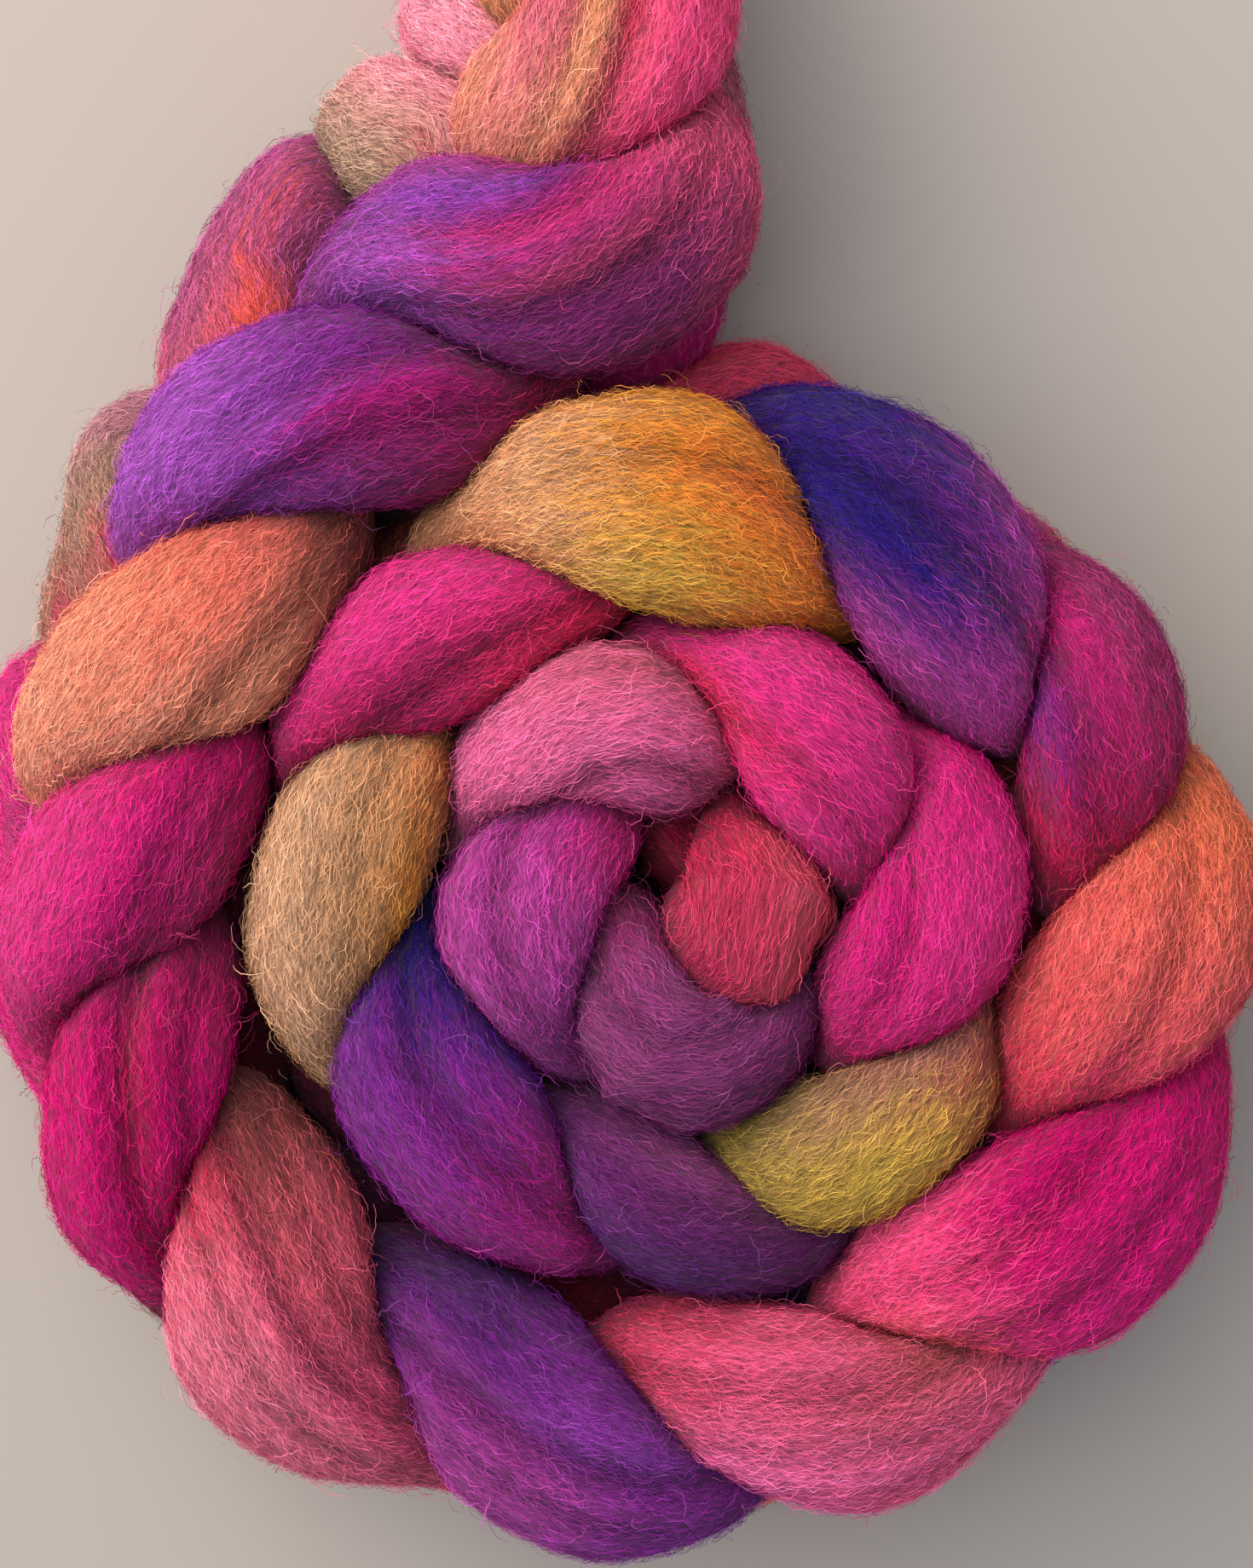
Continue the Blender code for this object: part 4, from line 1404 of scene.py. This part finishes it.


def short_hairs(s, rng, count):
    """Short bent hairs all over one strand: what shows of crimped fibres between two dips."""
    ring, side = rooted(s, count, rng)
    reach = rng.uniform(*HAIR_LENGTH, count)[:, None]
    turn = np.radians(HAIR_SLANT) * rng.standard_normal((count, 1)) + np.pi * rng.integers(0, 2, (count, 1))
    ahead = reach * np.array([[0.0, 0.5, 1.0]])
    aside = reach * rng.uniform(-HAIR_BEND, HAIR_BEND, (count, 1)) * np.array([[0.0, 1.0, 0.0]])
    ring_step, side_step = strides(s, ring, side)
    rings = ring[:, None] + (np.cos(turn) * ahead - np.sin(turn) * aside) / ring_step
    sides = side[:, None] + (np.sin(turn) * ahead + np.cos(turn) * aside) / side_step
    proud = PROUD_RISE * (rng.random(count) < PROUD_SHARE) * rng.uniform(PROUD_LEAST, 1.0, count)
    level = rng.random(count)
    rise = HAIR_RISE[0] + (HAIR_RISE[1] - HAIR_RISE[0]) * level + proud
    end = proud * rng.uniform(0.0, PROUD_END, count) - HAIR_SINK
    height = np.stack([np.full(count, -HAIR_SINK), rise, end], axis=1)
    line, normal = raised(s, rings, sides, height)
    root, bend, tip = line[:, 0], line[:, 1], line[:, 2]
    roll = rng.uniform(-HAIR_ROLL, HAIR_ROLL, (count, 1))
    width = unit(np.cross(tip - root, normal[:, 1])) * np.cos(roll) + normal[:, 1] * np.sin(roll)
    half = width * rng.uniform(*HAIR_WIDTH, (count, 1)) / 2
    dye = dye_near(s, rng, ring, side, *HAIR_MINGLING)
    # deeper hairs get a painted shade, and the rest of their tone is random
    height_and_chance = DEPTH_TELLS * level + (1 - DEPTH_TELLS) * rng.random(count)
    shade = HAIR_PAINTED_SHADE_AND_TONE[0] + (HAIR_PAINTED_SHADE_AND_TONE[1] - HAIR_PAINTED_SHADE_AND_TONE[0]) * height_and_chance
    return {
        "points": off_table(np.stack([root, bend - half, bend + half, tip], axis=1)),
        "dye": np.clip(dye * shade[:, None], 0.0, 1.0), "ring": ring, "side": side,
        "faces": np.array([[0, 1, 2], [1, 3, 2]]),
        "rings": rings[:, [0, 1, 1, 2]], "sides": sides[:, [0, 1, 1, 2]],
        "edge": np.array([0.0, -1.0, 1.0, 0.0]),
    }


print("Short hairs are", HAIR_LENGTH[0] / MM, "to", HAIR_LENGTH[1] / MM, "mm long.")

# %% [markdown]
# ## Fibres into a mesh
#
# Built face by face, so many hairs would take minutes. A mesh can also be filled from whole
# arrays, and that takes a second. On the strand's map a fibre lies where it lies on the
# strand, a little wider than it is, so that the stored colours find it.

# %% Filling a mesh from arrays
FIBRE_MAP_HALF = 0.0006          # half a fibre's width on the map, so that it catches a pixel


def strip_mesh(name, s, made):
    """Many fibres as one mesh: strips of quads, or two thin triangles for each short hair."""
    count, corners_each = made["points"].shape[:2]
    corners = np.arange(count)[:, None, None] * corners_each + made["faces"][None]
    sides_each = corners.shape[-1]
    corners = corners.reshape(-1, sides_each)
    mesh = bpy.data.meshes.new(name)
    mesh.vertices.add(count * corners_each)
    mesh.vertices.foreach_set("co", made["points"].astype(np.float32).ravel())
    mesh.loops.add(corners.size)
    mesh.loops.foreach_set("vertex_index", corners.astype(np.int32).ravel())
    mesh.polygons.add(len(corners))
    mesh.polygons.foreach_set("loop_start", np.arange(0, corners.size, sides_each, dtype=np.int32))
    mesh.update(calc_edges=True)
    give_colour(mesh, "dye", np.repeat(made["dye"], corners_each, axis=0))
    rings = len(s["place"]) - 1
    squares = MAP_SIDE ** 2
    square = np.clip((made["ring"] / rings * squares).astype(int), 0, squares - 1)[:, None]
    start = (made["side"] % SIDES - made["side"])[:, None]
    flat = map_place(made["rings"], made["sides"] + start, square, rings)
    flat[..., 1] += FIBRE_MAP_HALF * made["edge"]
    layer = mesh.uv_layers.new(name=MAP_NAME)
    layer.uv.foreach_set("vector", flat.reshape(-1, 2)[corners.ravel()].astype(np.float32).ravel())
    return mesh


print("On the map a fibre is", 2 * FIBRE_MAP_HALF, "wide.")

# %% [markdown]
# ## The fibres' finish
#
# A single fibre is too thin for relief. It shows its dye, a little uneven along its length,
# and it is glossier than the mass of the wool. Every fibre carries its own dye on its points,
# so one material serves them all.

# %% The fibres
FIBRE_FINISH = {"Roughness": 0.62, "Specular IOR Level": 0.15}
MOTTLE_SCALE = 700.0             # the higher, the shorter the light and dark parts of a fibre
MOTTLE_LEAST = 0.75              # the dye's lightness in the darkest part
MOTTLE_RANGE = 0.5               # and how much more it is in the lightest


def fibre_material():
    """Loose fibres: the dye alone, a little uneven along each."""
    material, shader, start = new_material("combed_fibres", FIBRE_FINISH)
    dye = start.node("ShaderNodeAttribute", {"attribute_name": "dye"})
    place = start.node("ShaderNodeTexCoord", out="Object")
    mottle = start.node("ShaderNodeTexNoise", (), {"Vector": place, "Scale": MOTTLE_SCALE, "Detail": 1.0})
    dye.scaled(MOTTLE_LEAST + mottle * MOTTLE_RANGE).feeds(shader, "Base Color")
    return material


FIBRE_SEED = 71
fibre_wool = fibre_material()
for s in strands:
    rng = np.random.default_rng(FIBRE_SEED + s["strand"])
    for kind, grow, count in (("fibres", fibres, FIBRES_A_STRAND), ("hairs", short_hairs, HAIRS_A_STRAND)):
        name = "%s_%d" % (kind, s["strand"] + 1)
        piece = add_piece(name, strip_mesh(name, s, grow(s, rng, count)), fibre_wool)
        print(name, "has", len(piece.data.polygons), "faces.")

# %% [markdown]
# ## A pale floor
#
# The braid lies on a plain pale table. A thin box far wider than the view is enough. Light
# that falls on it comes back up under the wool, so its colour matters to the lowest lobes.

# %% Floor
FLOOR_SIZE = 3.0
FLOOR_THICK = 0.02
FLOOR_FINISH = {"Base Color": (0.41, 0.39, 0.37, 1.0), "Roughness": 0.9}


def floor_mesh():
    """A thin square box whose top is the table."""
    half = FLOOR_SIZE / 2
    corners = [(x * half, y * half, z) for z in (-FLOOR_THICK, 0.0)
               for x, y in ((-1, -1), (1, -1), (1, 1), (-1, 1))]
    faces = [(3, 2, 1, 0), (4, 5, 6, 7)] + [(i, (i + 1) % 4, (i + 1) % 4 + 4, i + 4) for i in range(4)]
    mesh = bpy.data.meshes.new("floor")
    mesh.from_pydata(corners, [], faces)
    return mesh


floor = bpy.data.objects.new("floor", floor_mesh())
bpy.context.scene.collection.objects.link(floor)
floor.data.materials.append(new_material("floor_paint", FLOOR_FINISH)[0])
print("The floor is", FLOOR_SIZE, "m wide.")

# %% [markdown]
# ## Light
#
# One large soft lamp stands up and to the left, as a window would. A second one, warmer and
# further off at the upper left, lights the tail and the outer lobes there. A faint fill comes
# from all round, so that the creases don't go black. Large lamps suit wool: small ones would
# give each fibre a hard shadow. Colours are shown as they are, with the Standard view.

# %% Light
FILL_STRENGTH = 0.45
FILL_COLOUR = (0.92, 0.94, 1.0, 1.0)
LAMPS = (
    # name, place, what it points at, size, watts, colour
    ("window_lamp", (-0.40, 0.28, 0.80), (0.0, 0.0, 0.0), 1.10, 11.0, (1.0, 0.94, 0.88)),
    ("warm_glow", (-0.80, 0.86, 0.74), (-0.10, 0.20, 0.0), 0.80, 8.4, (1.0, 0.66, 0.42)),
)


def soft_lamp(name, place, target, size, watts, colour):
    """A round lamp that points at a target."""
    data = bpy.data.lights.new(name, "AREA")
    data.shape = "DISK"
    data.size = size
    data.energy = watts
    data.color = colour
    lamp = bpy.data.objects.new(name, data)
    lamp.location = place
    lamp.rotation_mode = "QUATERNION"
    lamp.rotation_quaternion = (Vector(target) - Vector(place)).to_track_quat("-Z", "Y")
    bpy.context.scene.collection.objects.link(lamp)
    return lamp


for row in LAMPS:
    lamp = soft_lamp(*row)
    print(lamp.name, "hangs", round(lamp.location.length, 2), "m from the braid.")
world = bpy.data.worlds.new("studio")
world.use_nodes = True
world.node_tree.nodes["Background"].inputs["Color"].default_value = FILL_COLOUR
world.node_tree.nodes["Background"].inputs["Strength"].default_value = FILL_STRENGTH
bpy.context.scene.world = world
bpy.context.scene.view_settings.view_transform = "Standard"

# %% [markdown]
# ## Camera
#
# The camera looks down on the crown from half a metre, leaning back a little towards the
# tail. Its lens is worked out from what the view takes in at the crown, so the distance can
# be changed without losing the framing.

# %% Camera
VIEW_HEIGHT = 0.50               # of the camera over the crown
VIEW_TILT = math.radians(6)      # leaning back, towards the tail
VIEW_SIDE = math.radians(-2)
CROWN_HEIGHT = 0.074             # of the point that the camera looks at
CROWN = Vector((0.0, 0.0, CROWN_HEIGHT)) + Vector(to_frame)
FRAME_HEIGHT = 0.230             # of what the view takes in at the crown
SENSOR = 36.0

back = Vector((VIEW_HEIGHT * math.tan(VIEW_SIDE), VIEW_HEIGHT * math.tan(VIEW_TILT), VIEW_HEIGHT))
forward = -back.normalized()
right = forward.cross(Vector((0.0, 1.0, 0.0))).normalized()
up = right.cross(forward)
camera_data = bpy.data.cameras.new("camera")
camera_data.sensor_fit = "VERTICAL"
camera_data.sensor_height = SENSOR
camera_data.lens = SENSOR * back.length / FRAME_HEIGHT
camera = bpy.data.objects.new("camera", camera_data)
camera.matrix_world = Matrix.Translation(CROWN + back) @ Matrix((right, up, -forward)).transposed().to_4x4()
bpy.context.scene.collection.objects.link(camera)
bpy.context.scene.camera = camera
print("The camera stands", round(back.length, 3), "m from the crown.")

# %% [markdown]
# ## The end
#
# The wool has to stay in the room that the packed solid gives it. Last, the scene is brought up to date.

# %% Bringing the scene up to date
bpy.context.view_layer.update()
